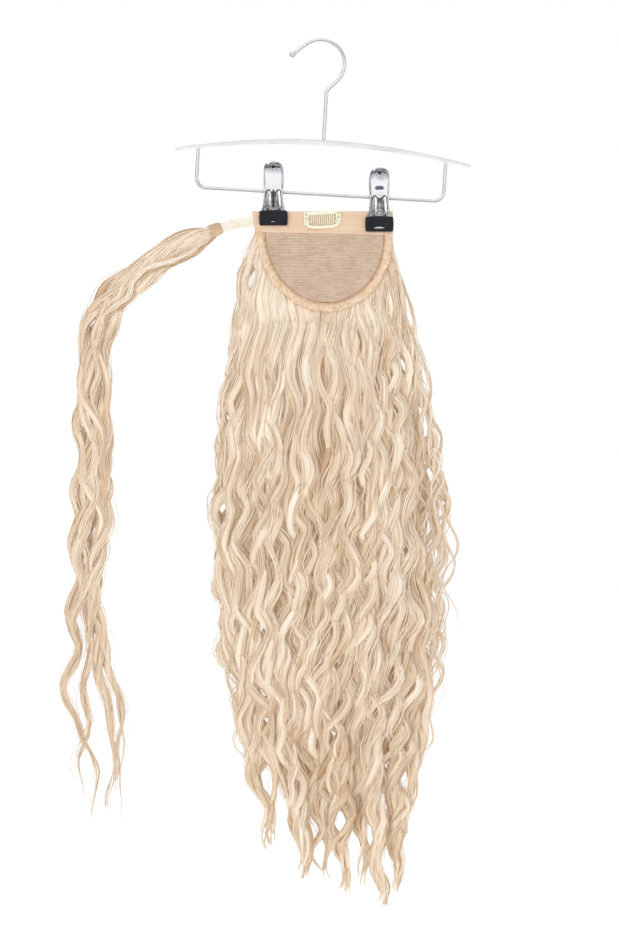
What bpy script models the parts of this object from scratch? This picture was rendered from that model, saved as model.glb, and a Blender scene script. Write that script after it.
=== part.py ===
"""A wrap-around ponytail hairpiece of long wavy hair, hung by two spring clips from a small wire hanger.

Metres, +Z up. X runs to the right and +Y away from the viewer, who looks at the inner face of the
hairpiece. The origin is the point inside the hook where the hanger bears on a rail.
Lengths in the tables and constants are written in millimetres and turned into metres by MM.
"""

import math

import bmesh
import bpy
import numpy as np
from mathutils import Vector

MM = 0.001
GAP = 0.3  # clearance between pieces that touch on the real object

# Hanger
HANGER_TILT = 3.3  # degrees, clockwise as seen from the front
WIRE_R = 1.5
HOOK_R = 20.8  # to the wire's middle
HOOK_CENTRE_Z = -(HOOK_R - WIRE_R)
HOOK_BALL_R = 2.7
SHANK_X = 6.6
BAR_Z = -68.0
BAR_HALF_LENGTH = 128.6
BAR_DROP = 13.2
RAIL_HALF_SPAN = 107.2
RAIL_Z = -112.85
RAIL_CORNER_R = 8.5

# Spring clips, measured from the rail that they ride on
LEFT_CLIP_X = -40.7
RIGHT_CLIP_X = 50.9
JAW_THICK = 1.0
FOOT_WIDTH = 24.6
FOOT_THICK = 3.0
FOOT_TOP = -16.5
FOOT_HEIGHT = 12.8
SPRING_R = 3.2
SPRING_LENGTH = 13.0
JAW_HOLE_R = 1.5
JAW_HOLE_Z = 20.4

# Cloth base
BAND_THICK = 2.0
BAND_LEFT, BAND_RIGHT = -59.3, 62.7
BAND_TOP = -146.9
BAND_HEIGHT_LEFT, BAND_HEIGHT_RIGHT = 17.8, 20.3
BASE_CENTRE_X = 3.4
BASE_HALF_WIDTH = 59.2
BASE_DEPTH = 67.6
BASE_SKEW = 1.9  # how far the lowest point lies to the right of the middle
BINDING_WIDTH = 8.0
BINDING_THICK = 2.4
NET_THICK = 1.2

# Snap comb
COMB_X, COMB_Z = 1.7, -153.6
COMB_TILT = -3.0  # degrees: its right end is the higher one
COMB_WIDTH = 32.0
COMB_TOP, COMB_SHEET = 6.6, 0.8
COMB_BAR_HEIGHT = 2.8
TAB_WIDTH, TAB_BOTTOM = 4.2, -5.2
TOOTH_COUNT, TOOTH_WIDTH, TOOTH_PITCH, TOOTH_LENGTH = 12, 0.9, 1.75, 9.6
EYELET_R = 0.8
EYELET_X, EYELET_Z = 13.9, (4.4, 0.9)
BOW_HALF_SPAN, BOW_DROP, BOW_WIDTH, BOW_END_HALF = 13.2, 3.1, 2.7, 1.1
PIN_R, BORE_R, PIN_LENGTH = 0.38, 0.6, 1.2
LUG_WIDTH, LUG_HALF, LUG_GAP = 1.1, 0.9, 0.45
PIVOT_Z = -2.6

# Wrap strap and the wrapped root of its lock
STRAP_WIDTH, STRAP_THICK = 8.2, 1.4
STRAP_START_X, STRAP_START_Z = -58.55, -155.8
ROOT_LENGTH = 11.0

# Hair
FALL_TOP_Z = -165.1
FALL_SHELL_DROP = 512.0
LOBES = 16
POINTS_PER_LOBE = 3
LOBE_DEPTH = 4.2
WAVE_PERIOD = 62.0
RINGS_PER_WAVE = 4.4

# The fall of hair, section by section: how far down, then its left, right, front and back limits.
FALL_COLUMNS = ("drop", "left", "right", "front", "back")
FALL_SECTIONS = (
    (0, -54, 59, 1.7, 5.5),
    (18, -62, 63, 1.7, 13),
    (42, -68, 70, 1.7, 20),
    (70, -70, 72, 1.7, 25),
    (92, -74, 76, -5, 27),
    (145, -82, 84, -13, 30),
    (188, -83, 90, -17, 31),
    (231, -85, 94, -19, 32),
    (318, -80, 93, -20, 32),
    (361, -79, 92, -20, 31),
    (404, -72, 91, -18, 28),
    (448, -68, 86, -14, 23),
    (491, -51, 76, -9, 17),
    (512, -38, 66, -4, 11),
)

# Locks whose ends hang free below the fall: where each leaves it, where it ends, and its thickness.
TIP_COLUMNS = ("start_x", "start_drop", "end_x", "end_drop", "depth", "radius")
TIPS = (
    (-63, 396, -53, 512, 4, 8.5),
    (-54, 420, -41, 531, -3, 8.5),
    (-42, 425, -26, 543, 8, 9.0),
    (-28, 430, -15, 561, -1, 9.5),
    (-12, 435, -4, 550, 7, 9.5),
    (0, 435, 10, 566, -2, 9.5),
    (14, 440, 22, 577, 6, 9.5),
    (28, 440, 33, 562, -1, 9.5),
    (41, 440, 43, 572, 7, 9.5),
    (53, 440, 56, 586, 0, 9.5),
    (64, 430, 66, 570, 6, 9.0),
    (74, 415, 75, 549, -1, 8.5),
    (83, 396, 82, 524, 4, 8.0),
)

# Locks that stand off the sides of the fall, as rows of (x, drop) from root to end.
SIDE_LOCKS = (
    ((62, 60), (78, 110), (90, 150), (99, 195), (104, 240), (98, 290), (104, 345), (95, 395), (84, 440)),
    ((-50, 8), (-64, 22), (-70, 48), (-64, 76), (-60, 100)),
    ((-70, 180), (-86, 215), (-88, 250), (-76, 285), (-66, 310)),
)
SIDE_LOCK_R = 4.6

# The wrap lock's middle line and its size across, from the wrapped root to where its ends part.
WRAP_COLUMNS = ("x", "z", "width", "depth")
WRAP_SECTIONS = (
    (-96.5, -165.0, 11.5, 7),
    (-114.6, -171.7, 16.5, 9),
    (-136, -187, 24, 12),
    (-160.5, -207.2, 28, 14),
    (-181, -228, 30, 16),
    (-193, -250, 31, 17),
    (-196.5, -280, 31, 18),
    (-197, -325, 33, 19),
    (-199.5, -385, 34, 19),
    (-201, -440, 34, 18),
    (-200, -490, 36, 17),
    (-197, -530, 32, 15),
    (-194, -560, 25, 12),
    (-192, -584, 15, 8),
)
WRAP_TIPS = (
    ((-203, -462), (-218, -490), (-210, -525), (-220, -562), (-206, -596), (-191, -622), (-195, -650), (-196, -678)),
    ((-196, -525), (-202, -562), (-202, -595), (-208, -625), (-205, -656)),
    ((-193, -520), (-189, -560), (-180, -604), (-182, -643), (-184, -671)),
    ((-192, -512), (-183, -552), (-172, -590), (-177, -620), (-178, -640), (-173, -660), (-177, -683)),
)
WRAP_TIP_R = 6.5

HAIR_BLOND = (0.74, 0.60, 0.43)
BAND_PEACH = (0.83, 0.64, 0.47)
NET_BEIGE = (0.68, 0.50, 0.37)
IVORY = (0.87, 0.83, 0.66)
CREAM = (0.92, 0.86, 0.72)
ROOT_BROWN = (0.55, 0.40, 0.27)
SATIN_STEEL = (0.62, 0.62, 0.63)
WHITE_PAINT = (0.88, 0.88, 0.88)
CHROME = (0.80, 0.81, 0.82)
BLACK_RUBBER = (0.02, 0.02, 0.024)


def clear_scene():
    for old in list(bpy.data.objects):
        bpy.data.objects.remove(old)


def finish_material(name, colour, roughness, metallic=0.0):
    material = bpy.data.materials.new(name)
    material.use_nodes = True
    shader = material.node_tree.nodes["Principled BSDF"]
    shader.inputs["Base Color"].default_value = (*colour, 1.0)
    shader.inputs["Roughness"].default_value = roughness
    shader.inputs["Metallic"].default_value = metallic
    return material


def table(rows, columns):
    """The rows of a table as one array for each named column."""
    return {name: np.array([row[i] for row in rows], float) for i, name in enumerate(columns)}


def smooth_through(known_at, known, wanted):
    """A smooth curve through the known values, read at the wanted places (cubic Hermite, mean slopes)."""
    slopes = np.gradient(known, known_at, axis=0)
    place = np.clip(np.searchsorted(known_at, wanted, side="right") - 1, 0, len(known_at) - 2)
    span = known_at[place + 1] - known_at[place]
    t = (wanted - known_at[place]) / span
    start, end = known[place], known[place + 1]
    rise = slopes[place] * span
    fall = slopes[place + 1] * span
    return (
        start * (2 * t**3 - 3 * t**2 + 1)
        + rise * (t**3 - 2 * t**2 + t)
        + end * (3 * t**2 - 2 * t**3)
        + fall * (t**3 - t**2)
    )


def smooth_path(points, count):
    """count points, evenly spaced in order along a smooth curve through the given points."""
    points = np.array(points, float)
    steps = np.linalg.norm(np.diff(points, axis=0), axis=1)
    known_at = np.concatenate([[0.0], np.cumsum(steps)])
    wanted = np.linspace(0.0, known_at[-1], count)
    return np.stack([smooth_through(known_at, points[:, k], wanted) for k in range(points.shape[1])], axis=1)


def arc(centre, radius, start_deg, end_deg, steps):
    """Points (x, z) of an arc round a centre, from one angle to the other."""
    angles = np.radians(np.linspace(start_deg, end_deg, steps + 1))
    return [(centre[0] + radius * math.cos(a), centre[1] + radius * math.sin(a)) for a in angles]


def in_plane(points):
    """(x, z) points as (x, 0, z)."""
    return np.array([(x, 0.0, z) for x, z in points], float)


def across(path):
    """Unit vectors square to a path, and lying in the XZ plane."""
    along = np.gradient(path, axis=0)
    side = np.stack([along[:, 2], np.zeros(len(path)), -along[:, 0]], axis=1)
    return side / np.linalg.norm(side, axis=1)[:, None]


def rings_along(path, section, scale):
    """A section, given as (across, depth) points, carried along a path and scaled at each point."""
    side = across(path)
    depth = np.array((0.0, 1.0, 0.0))
    scale = np.asarray(scale, float)
    wide, deep = (scale, scale) if scale.ndim == 1 else (scale[:, 0], scale[:, 1])
    return (
        path[:, None, :]
        + side[:, None, :] * (section[None, :, 0, None] * wide[:, None, None])
        + depth * (section[None, :, 1, None] * deep[:, None, None])
    )


def round_section(sides):
    angles = (np.arange(sides) + 0.5) * 2 * math.pi / sides
    return np.stack([np.cos(angles), np.sin(angles)], axis=1)


def object_from(name, points, faces, material, parent=None, sharp_deg=40):
    """A closed mesh in millimetres made one object in metres, its faces pointing out."""
    mesh = bpy.data.meshes.new(name)
    mesh.from_pydata([tuple(MM * float(c) for c in p) for p in points], [], [tuple(f) for f in faces])
    work = bmesh.new()
    work.from_mesh(mesh)
    bmesh.ops.recalc_face_normals(work, faces=work.faces)
    work.to_mesh(mesh)
    work.free()
    mesh.materials.append(material)
    mesh.shade_smooth()
    mesh.set_sharp_from_angle(angle=math.radians(sharp_deg))
    made = bpy.data.objects.new(name, mesh)
    bpy.context.scene.collection.objects.link(made)
    made.parent = parent
    return made


def loft(name, rings, material, parent=None, sharp_deg=40):
    """A closed solid through rings of equal count, flat at both ends."""
    count, around = rings.shape[:2]
    faces = [
        (i * around + k, i * around + (k + 1) % around, (i + 1) * around + (k + 1) % around, (i + 1) * around + k)
        for i in range(count - 1)
        for k in range(around)
    ]
    faces.append(tuple(range(around)))
    faces.append(tuple(range((count - 1) * around, count * around)))
    return object_from(name, rings.reshape(-1, 3), faces, material, parent, sharp_deg)


def box(name, low, high, material, parent=None):
    xs, ys, zs = zip(low, high)
    ring = [(xs[0], ys[0]), (xs[1], ys[0]), (xs[1], ys[1]), (xs[0], ys[1])]
    rings = np.array([[(x, y, z) for x, y in ring] for z in zs], float)
    return loft(name, rings, material, parent)


def bevel(target, width, segments=1):
    modifier = target.modifiers.new("Rounded edges", "BEVEL")
    modifier.width = width * MM
    modifier.segments = segments
    modifier.limit_method = "ANGLE"


def as_helper(target):
    target.hide_render = True
    target.display_type = "WIRE"
    return target


def combine(target, helpers, operation):
    """Joins the helpers to the target, or cuts them from it, with one Boolean."""
    group = bpy.data.collections.new(target.name + "_helpers")
    bpy.context.scene.collection.children.link(group)
    for helper in helpers:
        as_helper(helper)
        for home in list(helper.users_collection):
            home.objects.unlink(helper)
        group.objects.link(helper)
    modifier = target.modifiers.new("Helpers", "BOOLEAN")
    modifier.operation = operation
    modifier.operand_type = "COLLECTION"
    modifier.collection = group
    modifier.solver = "EXACT"
    modifier.use_self = operation == "UNION"


def hanger_frame():
    """An empty at the middle of the hook's arc, which carries the hanger's tilt."""
    frame = bpy.data.objects.new("hanger_frame", None)
    bpy.context.scene.collection.objects.link(frame)
    frame.location = Vector((0.0, 0.0, HOOK_CENTRE_Z)) * MM
    frame.rotation_euler = (0.0, math.radians(HANGER_TILT), 0.0)
    return frame


def build_hook(frame, steel):
    """Hook wire: a ball at its tip, a straight lead-in, the arc, then a bend into the shank."""
    lead_deg, leave_deg, lead_length, bend_r = 130.0, -42.0, 12.5, 9.0
    lead = np.array((-math.sin(math.radians(lead_deg)), math.cos(math.radians(lead_deg))))
    lead_start = HOOK_R * np.array((math.cos(math.radians(lead_deg)), math.sin(math.radians(lead_deg))))
    tip = lead_start + lead * lead_length
    ball_steps = np.linspace(-0.98, 0.82, 7)
    ball_middle = tip + lead * HOOK_BALL_R * 0.8
    points = [ball_middle - lead * HOOK_BALL_R * s for s in ball_steps]
    radii = [HOOK_BALL_R * math.sqrt(1 - s * s) for s in ball_steps]
    wire = [tip - lead * 1.2, *arc((0, 0), HOOK_R, lead_deg, leave_deg, 20)]
    turn = 90.0 + leave_deg  # from the sloping stretch to the upright shank
    bend_centre = (SHANK_X + bend_r, -26.5)
    bend = arc(bend_centre, bend_r, 180.0 - turn, 180.0, 5)
    shank_end = BAR_Z + bar_half_height(0.0) + GAP
    wire += [*bend, (SHANK_X, shank_end)]
    points += wire
    radii += [WIRE_R] * len(wire)
    path = in_plane(points)
    loft("hanger_hook", rings_along(path, round_section(8), radii), steel, frame)


def bar_half_height(share):
    """Half the bar's height at a share of its half length from the middle: it thins towards the tips."""
    return 2.3 - 1.0 * share**1.5


def bar_middle(share):
    return BAR_Z - BAR_DROP * share**2


def build_bar(frame, paint):
    """Arched bar, widest and deepest at the middle, with rounded tips."""
    shares = np.array((-1.0, -0.985, -0.9, -0.75, -0.5, -0.25, 0.0, 0.25, 0.5, 0.75, 0.9, 0.985, 1.0))
    sizes = np.abs(shares)
    path = in_plane([(SHANK_X + s * BAR_HALF_LENGTH, bar_middle(abs(s))) for s in shares])
    close_in = np.where(sizes > 0.99, 0.45, 1.0)
    scale = np.stack([[bar_half_height(s) for s in sizes], 4.6 - 2.2 * sizes], axis=1) * close_in[:, None]
    section = np.array(((1, 0.55), (0.55, 1), (-0.55, 1), (-1, 0.55), (-1, -0.55), (-0.55, -1), (0.55, -1), (1, -0.55)))
    loft("hanger_bar", rings_along(path, section, scale), paint, frame)


def build_rail(frame, steel):
    """Wire that drops from the bar at both ends and carries the clips."""
    share = RAIL_HALF_SPAN / BAR_HALF_LENGTH
    top = bar_middle(share) - bar_half_height(share) - 2 * GAP
    middle_x = SHANK_X - 0.7
    left, right = middle_x - RAIL_HALF_SPAN, middle_x + RAIL_HALF_SPAN
    corner_z = RAIL_Z + RAIL_CORNER_R
    points = [
        (left, top),
        *arc((left + RAIL_CORNER_R, corner_z), RAIL_CORNER_R, 180, 270, 5),
        *arc((right - RAIL_CORNER_R, corner_z), RAIL_CORNER_R, 270, 360, 5),
        (right, top),
    ]
    path = in_plane(points)
    loft("clip_rail", rings_along(path, round_section(8), [WIRE_R] * len(path)), steel, frame)


def rail_height(x):
    """World height of the tilted rail's middle at a world x."""
    tilt = math.radians(HANGER_TILT)
    local_x = (x - RAIL_Z * math.sin(tilt)) / math.cos(tilt)
    return HOOK_CENTRE_Z - local_x * math.sin(tilt) + RAIL_Z * math.cos(tilt)


# One pressed jaw, from its thumb end down to the foot: half width, inner face's distance from the
# middle plane, and how far the sheet bulges outwards along its middle.
JAW_COLUMNS = ("height", "half_width", "stand_off", "bulge")
JAW_SECTIONS = (
    (25.2, 3.0, 10.6, 0.2),
    (24.0, 5.9, 10.4, 0.7),
    (21.0, 8.0, 9.9, 1.4),
    (15.0, 8.7, 8.3, 1.8),
    (7.0, 8.5, 5.6, 1.6),
    (1.5, 8.2, 3.9, 1.0),
    (-3.0, 8.2, 3.6, 0.6),
    (-9.0, 8.6, 3.1, 0.6),
    (-14.0, 9.7, 2.2, 0.4),
    (-16.2, 10.6, 1.7, 0.2),
)


def build_jaw(name, side, chrome, frame):
    """A bent sheet whose section bows outwards. side is -1 for the front jaw and 1 for the back one."""
    rows = table(JAW_SECTIONS, JAW_COLUMNS)
    shares = np.array((-1.0, -0.45, 0.45, 1.0))
    bow = np.array((0.0, 1.0, 1.0, 0.0))
    x = rows["half_width"][:, None] * shares
    z = np.repeat(rows["height"][:, None], len(shares), axis=1)
    inner = rows["stand_off"][:, None] + rows["bulge"][:, None] * bow
    inside = np.stack([x, side * inner, z], axis=2)
    outside = np.stack([x, side * (inner + JAW_THICK), z], axis=2)
    rings = np.concatenate([inside, outside[:, ::-1]], axis=1)
    jaw = loft(name, rings, chrome, frame, sharp_deg=50)
    reach = 16.0
    drill = np.array([[(JAW_HOLE_R * c, side * y, JAW_HOLE_Z + JAW_HOLE_R * s) for c, s in round_section(8)] for y in (4.0, reach)])
    combine(jaw, [loft(name + "_drill", drill, chrome, frame)], "DIFFERENCE")


def build_clip(label, x, materials):
    """Two jaws sprung together round the rail, with a rubber foot on each."""
    chrome, rubber, steel = materials
    frame = bpy.data.objects.new(label + "_clip_frame", None)
    bpy.context.scene.collection.objects.link(frame)
    frame.location = Vector((x, 0.0, rail_height(x))) * MM
    for side, face in ((-1, "front"), (1, "back")):
        build_jaw(f"{label}_clip_{face}_jaw", side, chrome, frame)
        near = side * (BAND_THICK / 2 + GAP)
        far = near + side * FOOT_THICK
        foot = box(
            f"{label}_clip_{face}_foot",
            (-FOOT_WIDTH / 2, min(near, far), FOOT_TOP - FOOT_HEIGHT),
            (FOOT_WIDTH / 2, max(near, far), FOOT_TOP),
            rubber,
            frame,
        )
        bevel(foot, 0.7)
    slope = math.radians(HANGER_TILT)
    ends = [(s * SPRING_LENGTH / 2 * math.cos(slope), -s * SPRING_LENGTH / 2 * math.sin(slope)) for s in (-1, 1)]
    path = in_plane(ends)
    barrel = loft(f"{label}_clip_spring", rings_along(path, round_section(10), [SPRING_R] * 2), steel, frame)
    longer = in_plane([(2 * a, 2 * b) for a, b in ends])
    bore = rings_along(longer, round_section(8), [WIRE_R + GAP + 0.15] * 2)
    combine(barrel, [loft(f"{label}_spring_bore", bore, steel, frame)], "DIFFERENCE")


def band_bottom(x):
    """Height of the band's lower edge, which slopes down to the right."""
    share = (x - BAND_LEFT) / (BAND_RIGHT - BAND_LEFT)
    return BAND_TOP - BAND_HEIGHT_LEFT - (BAND_HEIGHT_RIGHT - BAND_HEIGHT_LEFT) * share


def build_band(cloth):
    """Flat top band: a folded tape whose left end slants in a little."""
    half = BAND_THICK / 2
    slant = 2.6
    outline = [
        (BAND_LEFT, BAND_TOP),
        (BAND_RIGHT, BAND_TOP),
        (BAND_RIGHT, band_bottom(BAND_RIGHT)),
        (BAND_LEFT + slant, band_bottom(BAND_LEFT + slant)),
    ]
    rings = np.array([[(x, y, z) for x, z in outline] for y in (-half, half)])
    bevel(loft("top_band", rings, cloth), 0.6, 2)


def base_edge(inset, steps):
    """Points of the base's half-ellipse from its left top, round its bottom, to its right top."""
    half_width, depth = BASE_HALF_WIDTH - inset, BASE_DEPTH - inset
    points = []
    for angle in np.linspace(math.pi, 2 * math.pi, steps + 1):
        down = -math.sin(angle)
        x = BASE_CENTRE_X + half_width * math.cos(angle) + BASE_SKEW * down
        points.append((x, band_bottom(x) * (1 - down) + band_bottom(BASE_CENTRE_X) * down - GAP - depth * down))
    return points


def build_net(net):
    """Net panel inside the binding."""
    half = NET_THICK / 2
    outline = base_edge(BINDING_WIDTH + GAP, 24)
    rings = np.array([[(x, y, z) for x, z in outline] for y in (-half, half)])
    loft("net_base", rings, net)


def build_binding(cloth):
    """Folded tape round the curved edge, a little rounded across."""
    steps = 26
    outer, inner = np.array(base_edge(0, steps)), np.array(base_edge(BINDING_WIDTH, steps))
    half = BINDING_THICK / 2
    shares_and_depths = ((0, -0.35), (0.12, -1), (0.88, -1), (1, -0.35), (1, 0.35), (0.88, 1), (0.12, 1), (0, 0.35))
    rings = []
    for out, into in zip(outer, inner):
        spots = [(out + (into - out) * share, half * depth) for share, depth in shares_and_depths]
        rings.append([(p[0], y, p[1]) for p, y in spots])
    loft("base_binding", np.array(rings), cloth)


def comb_frame():
    frame = bpy.data.objects.new("comb_frame", None)
    bpy.context.scene.collection.objects.link(frame)
    frame.location = Vector((COMB_X, 0.0, COMB_Z)) * MM
    frame.rotation_euler = (0.0, math.radians(COMB_TILT), 0.0)
    return frame


def build_comb_plate(frame, enamel):
    """Sewn-on plate: a back bar, a row of teeth, and an end tab on each side with eyelets and a lug."""
    back = -BAND_THICK / 2 - GAP
    front = back - COMB_SHEET
    half = COMB_WIDTH / 2
    plate = box("snap_comb_plate", (-half, front, COMB_TOP - COMB_BAR_HEIGHT), (half, back, COMB_TOP), enamel, frame)
    parts = []
    overlap = 1.0
    for side in (-1, 1):
        tab_in, tab_out = sorted((side * (half - TAB_WIDTH), side * half))
        parts.append(
            box(f"tab_{side}", (tab_in, front, TAB_BOTTOM), (tab_out, back, COMB_TOP - overlap), enamel, frame)
        )
        lug_in, lug_out = sorted((side * lug_middle() - LUG_WIDTH / 2, side * lug_middle() + LUG_WIDTH / 2))
        low, high = PIVOT_Z - LUG_HALF, PIVOT_Z + LUG_HALF
        lug = box(f"lug_{side}", (lug_in, pivot_y() - LUG_HALF, low), (lug_out, back - 0.2, high), enamel, frame)
        arm_in, arm_out = sorted((side * (lug_middle() - LUG_WIDTH / 2 + 0.1), side * (half - 1.0)))
        arm = box(f"arm_{side}", (arm_in, front + 0.1, low - 0.1), (arm_out, back - 0.1, high - 0.1), enamel, frame)
        parts += [lug, arm]
    first = -(TOOTH_COUNT - 1) / 2 * TOOTH_PITCH
    for i in range(TOOTH_COUNT):
        x = first + i * TOOTH_PITCH
        bottom = COMB_TOP - COMB_BAR_HEIGHT - TOOTH_LENGTH
        parts.append(
            box(f"tooth_{i}", (x - TOOTH_WIDTH / 2, front + 0.1, bottom), (x + TOOTH_WIDTH / 2, back - 0.1, COMB_TOP - overlap), enamel, frame)
        )
    combine(plate, parts, "UNION")
    holes = []
    for side in (-1, 1):
        for z in EYELET_Z:
            x = side * EYELET_X
            ring = [(x + EYELET_R * c, z + EYELET_R * s) for c, s in round_section(6)]
            rings = np.array([[(a, y, b) for a, b in ring] for y in (front - 1, back + 1)])
            holes.append(loft(f"eyelet_{side}_{z}", rings, enamel, frame))
        reach = (side * (lug_middle() - LUG_WIDTH), side * (lug_middle() + LUG_WIDTH))
        rings = np.array([[(x, pivot_y() + BORE_R * c, PIVOT_Z + BORE_R * s) for c, s in round_section(8)] for x in reach])
        holes.append(loft(f"pin_bore_{side}", rings, enamel, frame))
    cutters = bpy.data.collections.new("comb_cutters")
    bpy.context.scene.collection.children.link(cutters)
    for hole in holes:
        as_helper(hole)
        bpy.context.scene.collection.objects.unlink(hole)
        cutters.objects.link(hole)
    cut = plate.modifiers.new("Eyelets", "BOOLEAN")
    cut.operation = "DIFFERENCE"
    cut.operand_type = "COLLECTION"
    cut.collection = cutters
    cut.solver = "EXACT"


def pivot_y():
    """Middle plane of the bow, in front of the plate."""
    return -BAND_THICK / 2 - GAP - COMB_SHEET - GAP - COMB_SHEET / 2


def lug_middle():
    return BOW_HALF_SPAN - BOW_END_HALF - LUG_GAP - LUG_WIDTH / 2


def bow_edge(half_span, drop, steps):
    """Half of a squared ellipse below the pivot, from the left end to the right one."""
    power = 2.0 / 3.4
    points = []
    for angle in np.linspace(math.pi, 2 * math.pi, steps + 1):
        across, down = math.cos(angle), max(0.0, -math.sin(angle))
        points.append((half_span * math.copysign(abs(across) ** power, across), PIVOT_Z - drop * down**power))
    return points


def build_comb_bow(frame, enamel):
    """Curved bar that snaps over the teeth, hinged on two short pins that point inwards."""
    half_sheet = COMB_SHEET / 2
    end_half = BOW_END_HALF
    steps = 14
    outer = bow_edge(BOW_HALF_SPAN + end_half, BOW_DROP + BOW_WIDTH, steps)
    inner = bow_edge(BOW_HALF_SPAN - end_half, BOW_DROP, steps)
    rings = [
        [(o[0], pivot_y() - half_sheet, o[1]), (i[0], pivot_y() - half_sheet, i[1]), (i[0], pivot_y() + half_sheet, i[1]), (o[0], pivot_y() + half_sheet, o[1])]
        for o, i in zip(outer, inner)
    ]
    bow = loft("snap_comb_bow", np.array(rings), enamel, frame)
    parts = []
    for side in (-1, 1):
        knuckle = (side * (BOW_HALF_SPAN + end_half), side * (BOW_HALF_SPAN - end_half))
        rings = np.array([[(x, pivot_y() + half_sheet * c, PIVOT_Z + half_sheet * s) for c, s in round_section(8)] for x in knuckle])
        parts.append(loft(f"knuckle_{side}", rings, enamel, frame))
        pin = (side * BOW_HALF_SPAN, side * (BOW_HALF_SPAN - end_half - PIN_LENGTH))
        rings = np.array([[(x, pivot_y() + PIN_R * c, PIVOT_Z + PIN_R * s) for c, s in round_section(8)] for x in pin])
        parts.append(loft(f"pin_{side}", rings, enamel, frame))
    combine(bow, parts, "UNION")


def build_strap(elastic):
    """Narrow strap from the band's left end out to the wrapped root."""
    rows = table(WRAP_SECTIONS, WRAP_COLUMNS)
    root_end = np.array((rows["x"][0], rows["z"][0]))
    heading = np.array((rows["x"][1], rows["z"][1])) - root_end
    heading = heading / np.linalg.norm(heading)
    root_start = root_end - heading * (ROOT_LENGTH + 2 * GAP)
    strap_end = root_start - heading * 2 * GAP
    points = smooth_path([(STRAP_START_X, STRAP_START_Z), (STRAP_START_X - 9, STRAP_START_Z - 0.9), tuple(strap_end)], 7)
    path = in_plane(points)
    half = STRAP_THICK / 2
    section = np.array(((STRAP_WIDTH / 2, half), (-STRAP_WIDTH / 2, half), (-STRAP_WIDTH / 2, -half), (STRAP_WIDTH / 2, -half)))
    loft("wrap_strap", rings_along(path, section, np.ones(len(path))), elastic)
    return root_start, root_end, heading


def build_root(ends, thread):
    """Root of the wrap lock, bound in thread."""
    start, end, heading = ends
    shares = np.array((0.0, 0.15, 0.5, 0.85, 1.0))
    path = in_plane([tuple(start + heading * (s * (ROOT_LENGTH + GAP) + 0.1)) for s in shares])
    wide = np.array((4.6, 5.4, 5.7, 5.8, 5.4))
    deep = np.array((2.4, 3.0, 3.3, 3.4, 3.2))
    loft("wrap_lock_root", rings_along(path, round_section(10), np.stack([wide, deep], axis=1)), thread)


def fall_outline(drop, shares):
    """Points of the fall's section at a drop, at the given shares of the way round it.

    The section is a rounded oblong, walked by arc length so that equal shares are equal widths.
    """
    rows = table(FALL_SECTIONS, FALL_COLUMNS)
    left, right, front, back = (np.interp(drop, rows["drop"], rows[k]) for k in FALL_COLUMNS[1:])
    power = 2.0 / 2.6
    angles = np.linspace(0, 2 * math.pi, 241)
    cosine, sine = np.cos(angles), np.sin(angles)
    x = (left + right) / 2 + (right - left) / 2 * np.sign(cosine) * np.abs(cosine) ** power
    y = (front + back) / 2 + (back - front) / 2 * np.sign(sine) * np.abs(sine) ** power
    walked = np.concatenate([[0.0], np.cumsum(np.hypot(np.diff(x), np.diff(y)))])
    at = np.mod(shares, 1.0) * walked[-1]
    return np.stack([np.interp(at, walked, x), np.interp(at, walked, y)], axis=1), walked[-1]


def wave(drop, phase):
    """Sideways swing of the hair at a drop: it grows from the roots down."""
    swing = 5.2 * min(1.0, max(0.0, (drop - 40.0) / 260.0)) + 0.6
    return swing * math.sin(2 * math.pi * drop / WAVE_PERIOD + phase)


def build_fall(hair):
    """The fall: a shell of lobes, one for each thick lock, with the locks' free ends joined to it."""
    columns = LOBES * POINTS_PER_LOBE
    shares = np.arange(columns) / columns
    phases = 1.6 * np.sin(2 * math.pi * 2 * shares) + 0.9 * np.sin(2 * math.pi * 5 * shares + 1.0)
    groove = (np.arange(columns) % POINTS_PER_LOBE == 0).astype(float)
    base_drops = [row[0] for row in FALL_SECTIONS[:4]]
    count = round((FALL_SHELL_DROP - base_drops[-1]) / WAVE_PERIOD * RINGS_PER_WAVE)
    drops = base_drops + list(np.linspace(base_drops[-1], FALL_SHELL_DROP, count + 1)[1:])
    rings = []
    for drop in drops:
        _, girth = fall_outline(drop, shares)
        swings = np.array([wave(drop, p) for p in phases])
        outline, _ = fall_outline(drop, shares + swings / girth)
        middle = outline.mean(axis=0)
        inward = middle - outline
        thick = outline[:, 1].max() - outline[:, 1].min()
        inward /= np.linalg.norm(inward, axis=1)[:, None]
        sink = groove * min(LOBE_DEPTH, 0.2 * thick)
        outline = outline + np.stack([inward[:, 0] * sink * 0.3, np.sign(inward[:, 1]) * sink], axis=1)
        rings.append([(x, y, FALL_TOP_Z - drop) for x, y in outline])
    fall = loft("hair_fall", np.array(rings), hair, sharp_deg=70)
    locks = [build_tip(f"tip_{i}", row, i, hair) for i, row in enumerate(TIPS)]
    locks += [build_side_lock(f"side_lock_{i}", row, hair) for i, row in enumerate(SIDE_LOCKS)]
    combine(fall, locks, "UNION")


def tapered(length_share, radius):
    """Radius along a lock: narrow where it leaves the hair, full at a third, then drawn out to a blunt end."""
    root = np.clip(0.4 + 2.4 * length_share, 0.0, 1.0)
    return radius * root * np.clip((1.0 - length_share) / 0.72, 0.2, 1.0) ** 0.85


def build_tip(name, row, number, hair):
    tip = dict(zip(TIP_COLUMNS, row))
    shares = np.linspace(0, 1, 12)
    drops = tip["start_drop"] + (tip["end_drop"] - tip["start_drop"]) * shares
    swings = np.array([wave(d, 0.8 * number) for d in drops])
    x = tip["start_x"] + (tip["end_x"] - tip["start_x"]) * shares + swings
    y = np.full(len(shares), float(tip["depth"]))
    path = np.stack([x, y, FALL_TOP_Z - drops], axis=1)
    radius = tapered(shares, tip["radius"])
    return loft(name, rings_along(path, round_section(5), np.stack([radius, radius * 0.75], axis=1)), hair)


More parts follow.
